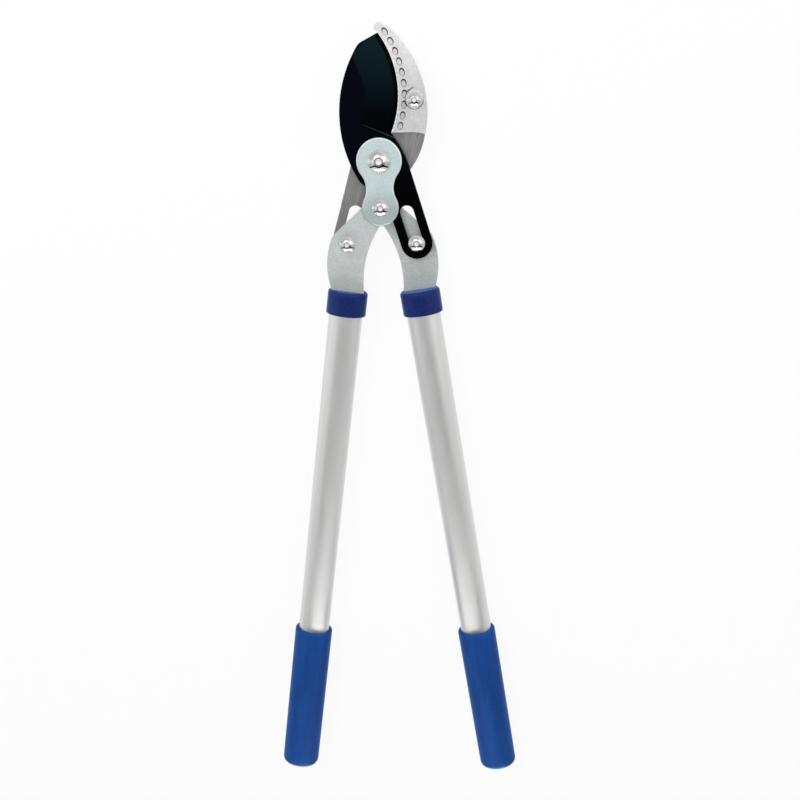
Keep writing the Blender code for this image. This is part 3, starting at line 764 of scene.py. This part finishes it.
def edgeWedge(side):
    # Ground bevel along one face of the cutting edge.
    middle = (plateLow + plateHigh) / 2
    rise = (stack["plate"] - blade["flat"]) / 2 / blade["bevel"]
    inner, outer = (blade["radius"] - blade["bevel"] * share for share in blade["wedge"])
    heights = [blade["flat"] / 2 + rise * (blade["radius"] - radius) for radius in (inner, outer)]
    profile = [(inner, heights[0]), (outer, heights[1]), (outer, heights[0])]
    start, end = bearing(edgeCenter, blade["root"]), bearing(edgeCenter, blade["tip"]) + blade["runout"]
    steps = 60
    sections = []
    for i in range(steps + 1):
        turn = start + (end - start) * i / steps
        sections.append([(*polar(edgeCenter, radius, turn), middle + side * height)
                         for radius, height in profile])
    return loft(sections)


def groundFace():
    # Broad grind that falls from a ridge in the face of the blade towards the edge.
    ridge = blade["ground"]
    bm = bmesh.new()
    beyond = blade["radius"] + blade["groundPast"]
    top = plateHigh + blade["groundAbove"]
    footTurn = bearing(edgeCenter, blade["groundFoot"])
    rows = []
    for i, point in enumerate(ridge):
        share = i / (len(ridge) - 1)
        edge = polar(edgeCenter, beyond, bearing(edgeCenter, point) * (1 - share) + footTurn * share)
        rows.append([(*point, plateHigh), (*edge, plateHigh - blade["groundDepth"]), (*edge, top),
                     (*point, top)])
    rows.append([(x, y - blade["grindLine"], max(z, plateHigh)) for x, y, z in rows[-1]])
    grid = [[bm.verts.new(point) for point in row] for row in rows]
    for first, second in zip(grid, grid[1:]):
        for k in range(4):
            bm.faces.new((first[k], first[(k + 1) % 4], second[(k + 1) % 4], second[k]))
    bm.faces.new(grid[0])
    bm.faces.new(grid[-1])
    return solidFromMesh(bm)


def onEdgeBand(face):
    reach = math.dist(face.center[:2], edgeCenter)
    beside = blade["radius"] - blade["bevel"] < reach < blade["radius"] - blade["bandInset"]
    low, high = blade["bandSlope"]
    return low < abs(face.normal.z) < high and beside and face.center.y > blade["root"][1]


def onGround(face):
    low, high = blade["groundSlope"]
    return low < face.normal.z < high


def buildBlade():
    item = prism(bladeOutline(), plateLow, plateHigh)
    cut(item, [prism(slotOutline(), 0, plateHigh + past),
               prism(ring(bore("main_pivot", "bush")), 0, plateHigh + past)])
    cut(item, [groundFace()])
    cut(item, [edgeWedge(1), edgeWedge(-1)])
    softened(item, blade["roll"], 2)
    # Teal painted highlight on the rolled edges that face right and up the tool.
    markSlopes(item, "rim", 0.22, 0.9, 0.5, 0.15)
    markFaces(item, "ground", onGround)
    markFaces(item, "band", onEdgeBand)
    placed(item, "bladePiece", atMainPivot, finishes["coating"], "blade", "coated_steel", "cutting_blade")


buildBlade()
print("blade built")

jaw = {
    "outerTop": (0.0095, 0.1099),
    "outerMiddle": (0.0386, 0.0667),
    "outerFoot": (0.0408, 0.0224),
    "faceTop": 0.1052,
    "footLevel": 0.0240,
    "footWave": 0.0006,
    "footSwell": 0.0012,
    "footDrop": 0.00272,
    "footBend": 2.6,
    "footCorner": (-0.00012, 0.0004),
    "nose": (0.0032, 0.1083),
    "noseRound": 0.0045,
    "noseStart": 205,
    "noseEnd": 52,
    "faceHeight": 0.0070,
    "lip": 0.0080,
    "roll": 0.0009,
    "scallopDepth": 0.0006,
    "scallop": 0.0038,
    "recesses": 10,
    "lowest": 0.0292,
    "offset": 0.0056,
    "pitch": 0.00883,
    "width": 0.0052,
    "length": 0.0074,
    "depth": 0.0014,
    "mouth": 1.02,
    "taper": 0.34,
    "pitLean": (-0.00020, -0.00050),
    "boss": 0.0073,
    "bossFoot": 0.0085,
    "bossHeight": 0.0006,
    "bossEdge": ((0.0003, -0.00025), (0, -0.0001), (-0.0004, 0)),
    "screw": (0.0316, 0.0503),
    "ridgeStart": (0.0254, 0.0568),
    "ridgeEnd": (0.0312, 0.0606),
    "ridgeHalf": 0.0007,
    "ridgeEndShare": 0.4,
    "ridgeDepth": 0.0004,
    "overlap": 0.0004,
}
# Where the painted shade lies on the jaw and how dark it is.
jawShade = {"ridge": 0.85, "ridgeReach": 1.12, "base": 0.76, "down": 0.60, "leastInPit": 0.64,
            "pitReach": 0.56, "pastBoss": 0.0002, "way": (-0.35, -0.94), "flattest": 0.93, "steepest": 0.15}

arm = {"top": 0.0965, "inset": 0.0006, "sideMiddle": (0.0357, 0.0065), "roll": 0.0005}


def jawOuter(inset):
    points = arcThrough(jaw["outerTop"], jaw["outerMiddle"], jaw["outerFoot"])
    center, radius = circleThrough(jaw["outerTop"], jaw["outerMiddle"], jaw["outerFoot"])
    return [polar(center, radius - inset, bearing(center, point)) for point in points]


def edgeBearing(level, radius):
    return math.degrees(math.asin((level - edgeCenter[1]) / radius))


def footEdge(share):
    # Height of the foot line, from its right end at 0 to its left end at 1.
    swell = jaw["footSwell"] * math.sin(math.pi * min(share * 1.5, 1)) * (1 - share)
    return jaw["footLevel"] + swell - jaw["footDrop"] * (1 - share) ** jaw["footBend"]


def jawOutline():
    face = blade["radius"] + stack["gap"]
    foot, top = edgeBearing(jaw["footLevel"], face), edgeBearing(jaw["faceTop"], face)
    steps = math.ceil(math.radians(top - foot) * face / jaw["scallop"]) * 10
    points = []
    for i in range(steps + 1):
        turn = foot + (top - foot) * i / steps
        wave = math.sin(math.radians(turn - foot) * face / jaw["scallop"] * math.pi) ** 2
        points.append(polar(edgeCenter, face + jaw["scallopDepth"] * wave, turn))
    points += arc(jaw["nose"], jaw["noseRound"], jaw["noseStart"], jaw["noseEnd"])
    points += jawOuter(0)
    points += [(points[-1][0] + jaw["footCorner"][0], footEdge(0) + jaw["footCorner"][1])]
    left, right = points[0][0], points[-1][0]
    footSteps = 32
    for i in range(1, footSteps):
        share = i / footSteps
        points.append((right + (left - right) * share, footEdge(share)))
    return points


def armOutline():
    lip = blade["radius"] + stack["gap"] * 2 + jaw["lip"]
    shelf = jaw["footLevel"] - jaw["footWave"] - 2 * stack["gap"]
    outer = [point for point in reversed(jawOuter(arm["inset"])) if point[1] < arm["top"]]
    points = mirrored(tailOutline())
    points += arcThrough(points[-1], arm["sideMiddle"], outer[0])[1:-1] + outer
    return points + arc(edgeCenter, lip, edgeBearing(arm["top"], lip), edgeBearing(shelf, lip))


def armPocket():
    lip = blade["radius"] + stack["gap"] + jaw["lip"]
    beyond = jaw["outerMiddle"][0] + jaw["lip"]
    gap, hub = stack["gap"], tail["hub"]
    points = arc(edgeCenter, lip, edgeBearing(-hub, lip), edgeBearing(arm["top"] + gap, lip))
    return points + [(beyond, arm["top"] + gap), (beyond, -hub)]


def recessCenters():
    middle = blade["radius"] + jaw["offset"]
    start = edgeBearing(jaw["lowest"], middle)
    step = math.degrees(jaw["pitch"] / middle)
    return [polar(edgeCenter, middle, start + step * i) for i in range(jaw["recesses"])]


def recessCutters():
    cutters = []
    for center in recessCenters():
        turn = bearing(edgeCenter, center)
        along, across = (Vector(polar((0, 0), 1, turn + side)) for side in (90, 0))
        outline = [tuple(Vector(center) + along * x * jaw["length"] + across * y * jaw["width"])
                   for x, y in ring(0.5 * jaw["mouth"], 40)]
        floor, top = jaw["faceHeight"] - jaw["depth"], jaw["faceHeight"] + jaw["overlap"]
        cutters.append(taperedPit(outline, center, floor, top, jaw["taper"], jaw["pitLean"]))
    return cutters


def paintedShadeOn(face):
    # Painted shade on the walls of the recesses, in the witness line and at the foot of the boss, darkest
    # where they face down the tool, away from the light.
    normal, place = face.normal, face.center[:2]
    start, end = jaw["ridgeStart"], jaw["ridgeEnd"]
    longest = math.dist(start, end) * jawShade["ridgeReach"]
    onRidge = math.dist(place, start) + math.dist(place, end) < longest
    if onRidge and face.center.z < jaw["faceHeight"] - jaw["ridgeDepth"] / 4:
        return jawShade["ridge"]
    reach = jaw["length"] * jawShade["pitReach"]
    inPit = any(math.dist(place, middle) < reach for middle in recessCenters())
    byBoss = jaw["boss"] < math.dist(place, jaw["screw"]) < jaw["bossFoot"] + jawShade["pastBoss"]
    if not jawShade["steepest"] <= normal.z <= jawShade["flattest"] or not (inPit or byBoss):
        return 0.0
    down = Vector(jawShade["way"]).dot(normal.xy) / normal.xy.length
    least = jawShade["leastInPit"] if inPit else 0.0
    return min(max(jawShade["base"] + jawShade["down"] * down, least), 1.0)


def ridgeGroove():
    # Thin witness line that runs off the seventh recess from the tip.
    start, end = Vector(jaw["ridgeStart"]), Vector(jaw["ridgeEnd"])
    way = (end - start).normalized()
    side = Vector((-way.y, way.x)) * jaw["ridgeHalf"]
    narrow = side * jaw["ridgeEndShare"]
    outline = [start + side, start - side, end - narrow, end + narrow]
    return prism(outline, jaw["faceHeight"] - jaw["ridgeDepth"], jaw["faceHeight"] + past)


def jawBoss():
    # Low round seat under the head of the screw, with a sloping foot.
    seat = jaw["faceHeight"] + jaw["bossHeight"]
    inside, foot = plateLow + stack["gap"], jaw["faceHeight"] - jaw["overlap"]
    edge = [(jaw["boss"] + out, seat + up) for out, up in jaw["bossEdge"]]
    boss = turned([(0, inside), (jaw["bossFoot"], inside), (jaw["bossFoot"], foot), *edge, (0, seat)], 96)
    boss.data.transform(Matrix.Translation((*jaw["screw"], 0)))
    return boss


def screwHole():
    return drill(jaw["screw"], bore("anvil"), -plateHigh, jaw["faceHeight"] + jaw["bossHeight"], 40)


def buildJaw():
    item = prism(jawOutline(), -plateHigh, jaw["faceHeight"])
    cut(item, [prism(armPocket(), -plateHigh - past, plateLow)])
    softened(item, jaw["roll"], 4, 50)
    cut(item, recessCutters() + [ridgeGroove()])
    cut(item, [jawBoss()], "UNION")
    cut(item, [screwHole()])
    creased(item, 28)
    markSlopes(item, "rim")
    # Painted shade in the recesses, the witness line and at the foot of the boss.
    markFaces(item, "paintedShade", paintedShadeOn)
    placed(item, "jawPiece", atMainPivot, finishes["casting"], "anvil", "cast_alloy", "anvil_jaw")


def buildArm():
    low, high = plateLevels(1)
    item = prism(armOutline(), low, high)
    cut(item, [through(mirrored(slotOutline()), low, 0), screwHole(),
               drill((0, 0), bore("main_pivot", "bush"), low, 0)])
    softened(item, arm["roll"], 2)
    markSlopes(item, "rim")
    placed(item, "armPiece", atMainPivot, finishes["arm"], "anvil", "brushed_steel", "anvil_arm")


buildJaw()
buildArm()
print("jaw and arm built")

link = {"topRadius": 0.0198, "lowRadius": 0.0161, "waist": 0.0200, "roll": 0.0011}


def linkOutline():
    reachTop, reachLow = link["topRadius"] + link["waist"], link["lowRadius"] + link["waist"]
    level = (reachLow ** 2 - reachTop ** 2 + mainUp ** 2) / (2 * mainUp)
    side = (math.sqrt(reachLow ** 2 - level ** 2), level)
    other = (-side[0], level)
    top, low = (0, mainUp), (0, 0)
    turnTop, turnLow = bearing(top, side), bearing(low, side)
    points = arc(top, link["topRadius"], turnTop, 180 - turnTop)
    points += arc(other, link["waist"], -turnTop, -turnLow)
    points += arc(low, link["lowRadius"], 180 - turnLow, 360 + turnLow)
    return points + arc(side, link["waist"], turnLow + 180, turnTop + 180)


def buildLinks():
    for name, node, low, high in (("frontLink", "front_link_plate", linkLow, linkHigh),
                                  ("rearLink", "rear_link_plate", -linkHigh, -linkLow)):
        item = prism(linkOutline(), low, high)
        cut(item, [drill((0, mainUp), bore("main_pivot"), low, high),
                   drill((0, 0), bore("handle_pivot"), low, high)])
        softened(item, link["roll"], 4)
        # Painted highlight on the rolled edges that face up and right, painted shade on those that face
        # down the tool.
        markSlopes(item, "rim", 0.55, 0.35, 0.75)
        markSlopes(item, "paintedShade", -0.15, -0.3, -1.1)
        placed(item, name, atHandlePivot, finishes["link"], "linkage", "blasted_steel", node)


buildLinks()
print("links built")

bracket = {
    "shoulder": (-0.0440, -0.0252),
    "round": 0.0090,
    "lobeEnd": -70,
    "outerMiddle": (-0.0499, -0.0480),
    "innerMiddle": (-0.0133, -0.0409),
    "footHalf": 0.0147,
    "tangHalf": 0.0098,
    "tangLength": 0.0560,
    "roll": 0.0009,
}

handle = {
    "lean": 8.17,
    "reach": 0.0325,
    "drop": 0.0756,
    "tubeWidth": 0.0309,
    "tubeDepth": 0.0230,
    "tubeWall": 0.0018,
    "tubeStart": 0.0050,
    "tubeLength": 0.5220,
    "tubeBreak": 0.0002,
    "power": 2.1,
    "sides": 128,
}
tubeEnd = handle["tubeStart"] + handle["tubeLength"]


def handlePoint(along, across):
    lean = math.radians(handle["lean"])
    return (-handle["reach"] - math.sin(lean) * along + math.cos(lean) * across,
            -handle["drop"] - math.cos(lean) * along - math.sin(lean) * across)


def bracketOutline():
    start = handle["tubeStart"] - stack["gap"]
    end = start + bracket["tangLength"]
    half, tang, lobe = bracket["footHalf"], bracket["tangHalf"], tail["lobe"]
    outer = arcThrough(handlePoint(0, -half), bracket["outerMiddle"], bracket["shoulder"])
    touch = bearing((0, 0), bracket["shoulder"]) % 360
    touch -= math.degrees(math.acos(lobe / math.hypot(*bracket["shoulder"])))
    points = outer[:-1]
    points += fillet(outer[-2], bracket["shoulder"], polar((0, 0), lobe, touch), bracket["round"])
    points += arc((0, 0), lobe, touch, bracket["lobeEnd"])
    points += arcThrough(points[-1], bracket["innerMiddle"], handlePoint(0, half))
    corners = ((start, half), (start, tang), (end, tang), (end, -tang), (start, -tang), (start, -half))
    return points + [handlePoint(*corner) for corner in corners]


def oval(wall, drop):
    # Section of the tube, grown by a wall and set some way down the handle.
    width, depth = handle["tubeWidth"], handle["tubeDepth"]
    points = []
    for i in range(handle["sides"]):
        angle = math.tau * i / handle["sides"]
        across, up = (math.copysign(abs(way) ** (2 / handle["power"]), way)
                      for way in (math.cos(angle), math.sin(angle)))
        points.append(((width / 2 + wall) * across, -drop, (depth / 2 + wall) * up))
    return points


def roundedEnd(wall, drop, radius, way, steps):
    sections = []
    for i in range(steps + 1):
        angle = math.pi / 2 * i / steps
        inward, along = radius * (1 - math.cos(angle)), way * radius * (1 - math.sin(angle))
        sections.append(oval(wall - inward, drop - along))
    return sections


collar = {"wall": 0.00255, "length": 0.0222, "top": 0.0024, "round": 0.0030, "lip": 0.0007,
          "slotSide": 0.0010, "slotAbove": 0.0006}
grip = {"wall": 0.0032, "length": 0.1709, "floor": 0.0045, "round": 0.0070, "lipRound": 0.0026,
        "mouthIn": 0.0006, "mouthOut": 0.0004, "rows": 40}


def buildCollar(side, name, place, body):
    gap, top = stack["gap"], collar["top"]
    outer = gap + collar["wall"]
    low, high = plateLevels(side)
    sections = [oval(gap, top), oval(gap, collar["length"])]
    sections += roundedEnd(outer, collar["length"], collar["lip"], 1, 4)[::-1]
    sections += roundedEnd(outer, 0, collar["round"], -1, 8)
    item = loft(sections)
    half = bracket["footHalf"] + collar["slotSide"]
    slot = [(-half, gap), (-half, -top - gap), (half, -top - gap), (half, gap)]
    cut(item, [prism(slot, low - collar["slotAbove"], high + collar["slotAbove"])])
    creased(item, 40)
    placed(item, name + "CollarPiece", place, finishes["collar"], body, "blue_plastic", name + "_collar")


def buildGrip(name, place, body):
    gap, rows = stack["gap"], grip["rows"]
    outer = gap + grip["wall"]
    floor = tubeEnd + gap
    end = floor + grip["floor"]
    start = end - grip["length"]
    sections = [oval(gap, floor), oval(gap, start + grip["mouthIn"]), oval(gap + grip["mouthOut"], start)]
    sections += roundedEnd(outer, start, grip["lipRound"], -1, 6)[::-1]
    straight, curved = start + grip["lipRound"], end - grip["round"]
    sections += [oval(outer, straight + (curved - straight) * i / rows) for i in range(1, rows)]
    sections += roundedEnd(outer, end, grip["round"], 1, 9)
    item = loft(sections)
    creased(item, 45)
    placed(item, name + "GripPiece", place, finishes["grip"], body, "blue_rubber", name + "_grip")


def buildTube(name, place, body):
    start, wall, broken = handle["tubeStart"], -handle["tubeWall"], handle["tubeBreak"]
    item = loft([oval(-broken, start), oval(0, start + broken), oval(0, tubeEnd), oval(wall, tubeEnd),
                 oval(wall, start)], True)
    creased(item, 40)
    placed(item, name + "TubePiece", place, finishes["tube"], body, "aluminium", name + "_tube")


def buildHandle(side):
    name = "left" if side < 0 else "right"
    body = name + "_handle"
    low, high = plateLevels(side)
    item = prism(bracketOutline() if side < 0 else mirrored(bracketOutline()), low, high)
    cut(item, [drill((0, 0), bore("handle_pivot", "bush"), low, high),
               drill((side * drivePin[0], drivePin[1]), bore(name + "_drive"), low, high, 40)])
    softened(item, bracket["roll"], 3)
    markSlopes(item, "rim")
    placed(item, name + "BracketPiece", atHandlePivot, finishes["bracket"], body, "blasted_steel",
           name + "_bracket")
    lean = Matrix.Rotation(math.radians(side * handle["lean"]), 4, "Z")
    place = atHandlePivot @ Matrix.Translation((side * handle["reach"], -handle["drop"], 0)) @ lean
    buildCollar(side, name, place, body)
    buildGrip(name, place, body)
    buildTube(name, place, body)
    painted(name + "_tube_insert", "insert")
    painted(name + "_tang_pin", "plating")


for handleSide in (-1, 1):
    buildHandle(handleSide)
print("handles built")

headShape = {
    "rim": 0.20,
    "socket": 0.36,
    "socketDepth": 0.20,
    "dish": 6,
    "steps": 18,
    "dishSteps": 8,
    "mouth": (1.06, 1.02),
    "mouthDrop": (0.00010, 0.00030),
    "edge": (0.0003, 0.00008),
    "shankBreak": 0.0004,
    "floorReach": 0.0002,
    "shadeFrom": 0.75,
    "shadeOver": 0.15,
}


def boltHead(size, seat, end):
    # Shallow dome with a round-bottomed key socket.
    head, height, shank, broken = size["head"], size["height"], size["shank"], headShape["shankBreak"]
    rise = height * (1 - headShape["rim"])
    ball = (head ** 2 + rise ** 2) / (2 * rise)
    widest = math.asin(head / ball)
    key = head * headShape["socket"]
    edge, fine = headShape["edge"]
    profile = [(0, end), (shank - broken, end), (shank, end + broken), (shank, seat), (head - edge, seat),
               (head - fine, seat + fine), (head, seat + edge)]
    mouth = math.asin(key * headShape["mouth"][0] / ball)
    for i in range(headShape["steps"]):
        turn = widest + (mouth - widest) * i / (headShape["steps"] - 1)
        profile.append((ball * math.sin(turn), seat + height - ball * (1 - math.cos(turn))))
    top = profile[-1][1]
    profile += [(key * headShape["mouth"][1], top - headShape["mouthDrop"][0]),
                (key, top - headShape["mouthDrop"][1])]
    floor = seat + height * (1 - headShape["socketDepth"])
    dish = math.radians(headShape["dish"])
    bowl = key / math.sin(dish)
    for i in range(headShape["dishSteps"] + 1):
        turn = dish * (1 - i / headShape["dishSteps"])
        profile.append((bowl * math.sin(turn), floor + bowl * (1 - math.cos(turn))))
    item = creased(turned(profile, 96), 38)

    def inSocket(face):
        within = math.hypot(face.center.x, face.center.y) < key * 1.01
        return within and face.center.z > floor - headShape["floorReach"]

    def inCorner(face):
        share = math.hypot(face.center.x, face.center.y) / key
        return inSocket(face) and min(max((share - headShape["shadeFrom"]) / headShape["shadeOver"], 0), 1)

    # Painted shade in the outer corner of the socket floor.
    markFaces(item, "paintedShade", inCorner)
    markFaces(item, "socket", inSocket)
    return item


nutShape = {"chamfer": 0.485, "corner": 0.6, "chamferRise": 0.7, "mouth": 0.0014, "mouthDepth": 0.0005,
            "roll": 0.00015}
washerRoll = 0.0003


def hexNut(size, low, high):
    flats, top = size["flats"], high + past
    item = prism(ring(flats / math.sqrt(3), 6), low, high)
    inner, corner = flats * nutShape["chamfer"], flats * nutShape["corner"]
    rise = (corner - inner) * nutShape["chamferRise"]
    cut(item, [turned([(0, low), (inner, low), (corner, low + rise), (corner, top), (0, top)], 72)],
        "INTERSECT")
    hole = size["shank"] + stack["gap"]
    cut(item, [turned([(0, low - past), (hole + nutShape["mouth"], low - past),
                       (hole, low + nutShape["mouthDepth"]), (hole, top), (0, top)], 48)])
    return creased(softened(item, nutShape["roll"], 2, 25), 30)


def washer(outer, hole, low, high):
    item = turned([(0, low), (outer, low), (outer, high), (0, high)], 72)
    cut(item, [drill((0, 0), hole, low, high, 48)])
    return softened(item, washerRoll, 3, 40)


def levelsOf(node):
    return tuple(corner.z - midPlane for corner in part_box(node))


def dressNode(name, body, slot, node, finish, item):
    center = centerOf(node)
    place = Matrix.Translation((center.x, center.y, midPlane))
    placed(item, name, place, finishes[finish], body, slot, node)


def buildBolts():
    bodies = {"main_pivot": "linkage", "handle_pivot": "linkage", "left_drive": "left_handle",
              "right_drive": "right_handle", "anvil": "anvil"}
    for stem, body in bodies.items():
        size = bolts[stem]
        node = "anvil_screw" if stem == "anvil" else stem + "_bolt"
        low, high = levelsOf(node)
        head = boltHead(size, high - size["height"], low)
        dressNode(stem + "HeadPiece", body, "chrome", node, "chrome", head)
        node = stem + "_nut"
        dressNode(stem + "NutPiece", body, "plated_steel", node, "plating", hexNut(size, *levelsOf(node)))
        if stem != "anvil":
            node = stem + "_washer"
            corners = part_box(node)
            outer = (corners[1].x - corners[0].x) / 2
            dressNode(stem + "WasherPiece", body, "plated_steel", node, "plating",
                      washer(outer, bore(stem), *levelsOf(node)))
            painted(stem + "_bush", "bronze")


buildBolts()
print("bolts built")

# Camera, floor and light

view = {"distance": 0.9472, "tilt": 20.0, "roll": -1.60, "yaw": 3.3269, "lens": 45.0, "sensor": 36.0,
        "target": (0.0120, -0.1827, 0.0), "nearest": 0.01}


def addCamera():
    tilt, roll, yaw = (math.radians(view[key]) for key in ("tilt", "roll", "yaw"))
    away = Vector((math.sin(yaw) * math.cos(tilt), math.sin(tilt), math.cos(tilt) * math.cos(yaw)))
    away.normalize()
    ahead = -away
    upright = (Vector((0, 1, 0)) - ahead * ahead.y).normalized()
    sideways = ahead.cross(upright)
    right = sideways * math.cos(roll) + upright * math.sin(roll)
    up = upright * math.cos(roll) - sideways * math.sin(roll)
    lens = bpy.data.cameras.new("camera")
    lens.lens = view["lens"]
    lens.sensor_width = view["sensor"]
    lens.clip_start = view["nearest"]
    camera = bpy.data.objects.new("camera", lens)
    bpy.context.scene.collection.objects.link(camera)
    turn = Matrix((right, up, away)).transposed().to_4x4()
    turn.translation = origin + Vector(view["target"]) + away * view["distance"]
    camera.matrix_world = turn
    bpy.context.scene.camera = camera


studio = {"floorSize": 30.0, "floorColour": (0.93, 0.93, 0.93, 1), "floorGlow": 0.92, "floorDrop": 0.0004,
          "above": 0.30, "around": 0.70}

# The room that polished metal mirrors, on a round dome: places run from -1 to 1 across and up it.
# A spot has its place, its two radii, its softness and its tone.
room = {
    "above": (0.07, 0.115, 0.99),
    "domeSine": 0.66,
    "inner": 1.50,
    "outer": 1.78,
    "outward": (0.35, 0.82),
    "spots": [
        ((0.0, 0.80), (1.4, 0.75), 0.1, 1.05),
        ((-0.77, -0.237), (0.245, 0.212), 0.6, 0.62),
        ((0.74, -0.216), (0.686, 0.29), 0.6, 0.69),
        ((0.0, -0.119), (0.435, 0.305), 0.4, 0.01),
        ((0.0, 0.08), (0.24, 0.11), 0.25, 1.30),
        ((-0.14, 0.36), (0.25, 0.28), 0.16, 1.9),
        ((0.40, 0.24), (0.25, 0.26), 0.16, 1.9),
        ((0.0, -0.49), (0.86, 0.14), 0.3, 1.05),
        ((0.10, -0.68), (0.75, 0.20), 0.3, 0.95),
    ],
    "ringOuter": ((-0.10, 0.10), (0.76, 0.76), 0.06),
    "ringPart": ((-0.5, 0.7), (0.9, 0.7), 0.4),
    "ringFrom": (0.52, 0.66),
    "ringTone": 0.70,
    "rim": 0.85,
    "rimFrom": (0.86, 0.95),
    "sideBand": 0.28,
    "bandOff": (0.26, 0.40),
    "wingAt": 0.38,
    "wingHalf": 0.42,
    "wingRise": 0.15,
    "wingLevel": -0.505,
    "wingThick": 0.085,
    "wingHeart": 0.060,
    "wingHeartSpot": ((0.38, -0.24), (0.17, 0.2), 0.5),
    "wingEdge": (1.2, 0.75),
    "wingEnds": (0.92, 0.78),
    "wingTone": 0.01,
    "lamp": ((0.07, -0.72), (0.37, 0.035), 0.3),
    "lampTone": 74.0,
}


def addFloor():
    bm = bmesh.new()
    half = studio["floorSize"] / 2
    corners = ((-half, -half, 0), (half, -half, 0), (half, half, 0), (-half, half, 0))
    bm.faces.new([bm.verts.new(corner) for corner in corners])
    floor = solidFromMesh(bm, "floor")
    floor.location.z = -studio["floorDrop"]
    material = bpy.data.materials.new("paleFloor")
    material.use_nodes = True
    nodes = Nodes(material.node_tree)
    shader = material.node_tree.nodes["Principled BSDF"]
    shader.inputs["Base Color"].default_value = studio["floorColour"]
    shader.inputs["Roughness"].default_value = 0.8
    path = nodes.add("ShaderNodeLightPath")
    seen = nodes.math("MAXIMUM", path.outputs["Is Camera Ray"], path.outputs["Is Glossy Ray"])
    seen = nodes.math("MAXIMUM", seen, path.outputs["Is Transmission Ray"])
    glow = nodes.add("ShaderNodeEmission", None, Color=(1, 1, 1, 1), Strength=1.0)
    mix = nodes.add("ShaderNodeMixShader", None, n0=nodes.times(seen, studio["floorGlow"]),
                    n1=shader.outputs[0], n2=glow.outputs[0])
    nodes.feed(material.node_tree.nodes["Material Output"], "Surface", mix.outputs[0])
    floor.data.materials.append(material)


def addWorld():
    world = bpy.data.worlds.new("studioRoom")
    world.use_nodes = True
    bpy.context.scene.world = world
    nodes = Nodes(world.node_tree)
    background = world.node_tree.nodes["Background"]
    way = nodes.add("ShaderNodeTexCoord").outputs["Generated"]
    half = nodes.add("ShaderNodeVectorMath", {"operation": "ADD"}, n0=way, n1=room["above"]).outputs[0]
    half = nodes.add("ShaderNodeVectorMath", {"operation": "NORMALIZE"}, n0=half).outputs[0]
    across, upward = (nodes.over(part, room["domeSine"]) for part in nodes.split(half)[:2])

    def spot(center, radii, soft):
        x = nodes.over(nodes.minus(across, center[0]), radii[0])
        y = nodes.over(nodes.minus(upward, center[1]), radii[1])
        return nodes.span(nodes.reach(x, y), 1 + soft, 1 - soft)

    def toward(tone, value, amount):
        return nodes.plus(nodes.times(tone, nodes.minus(1.0, amount)), nodes.times(amount, value))

    # Tone of the dome, with its spots, a part of a ring and its rim
    out = nodes.reach(across, upward)
    tone = nodes.span(out, *room["outward"], room["inner"], room["outer"])
    for center, radii, soft, value in room["spots"]:
        tone = toward(tone, value, spot(center, radii, soft))
    ringed = nodes.times(spot(*room["ringOuter"]), spot(*room["ringPart"]))
    tone = toward(tone, room["ringTone"], nodes.times(ringed, nodes.span(out, *room["ringFrom"])))
    off = nodes.unsigned(nodes.plus(upward, room["sideBand"]))
    rim = nodes.times(nodes.span(out, *room["rimFrom"]), nodes.span(off, *room["bandOff"]))
    tone = toward(tone, room["rim"], rim)

    # Dark line with a hump on each side, thickest under the right one
    wing = nodes.unsigned(nodes.minus(nodes.unsigned(across), room["wingAt"]))
    wing = nodes.math("MAXIMUM", nodes.minus(1.0, nodes.over(wing, room["wingHalf"])), 0.0)
    level = nodes.plus(nodes.times(wing, room["wingRise"]), room["wingLevel"])
    off = nodes.unsigned(nodes.minus(upward, level))
    heart = nodes.times(spot(*room["wingHeartSpot"]), room["wingHeart"])
    wide = nodes.plus(heart, room["wingThick"])
    line = nodes.times(nodes.span(nodes.over(off, wide), *room["wingEdge"]),
                       nodes.span(nodes.unsigned(across), *room["wingEnds"]))
    tone = toward(tone, room["wingTone"], line)
    tone = nodes.plus(tone, nodes.times(spot(*room["lamp"]), room["lampTone"]))

    # Only mirrored rays see the room: the rest get a plain soft fill, and the camera sees white
    path = nodes.add("ShaderNodeLightPath").outputs
    seen = nodes.math("MAXIMUM", path["Is Camera Ray"], path["Is Transmission Ray"])
    fill = nodes.span(nodes.split(way)[2], 0.0, 1.0, studio["around"], studio["above"])
    strength = toward(fill, tone, path["Is Glossy Ray"])
    background.inputs["Color"].default_value = (1, 1, 1, 1)
    nodes.feed(background, "Strength", nodes.math("MAXIMUM", strength, seen))


def addLamp(name, place, power, side):
    # Soft box that looks at the middle of the tool and isn't mirrored in it.
    data = bpy.data.lights.new(name, "AREA")
    data.shape = "RECTANGLE"
    data.size = data.size_y = side
    data.energy = power
    lamp = bpy.data.objects.new(name, data)
    bpy.context.scene.collection.objects.link(lamp)
    lamp.location = place
    lamp.rotation_euler = (-Vector(place)).to_track_quat("-Z", "Y").to_euler()
    lamp.visible_glossy = False


addCamera()
addFloor()
addWorld()
addLamp("keyBox", (-0.70, 1.15, 1.05), 15.5, 0.7)
addLamp("sideBox", (0.95, 0.75, 1.10), 6.0, 0.8)
bpy.context.scene.view_settings.view_transform = "Standard"
print("studio set")
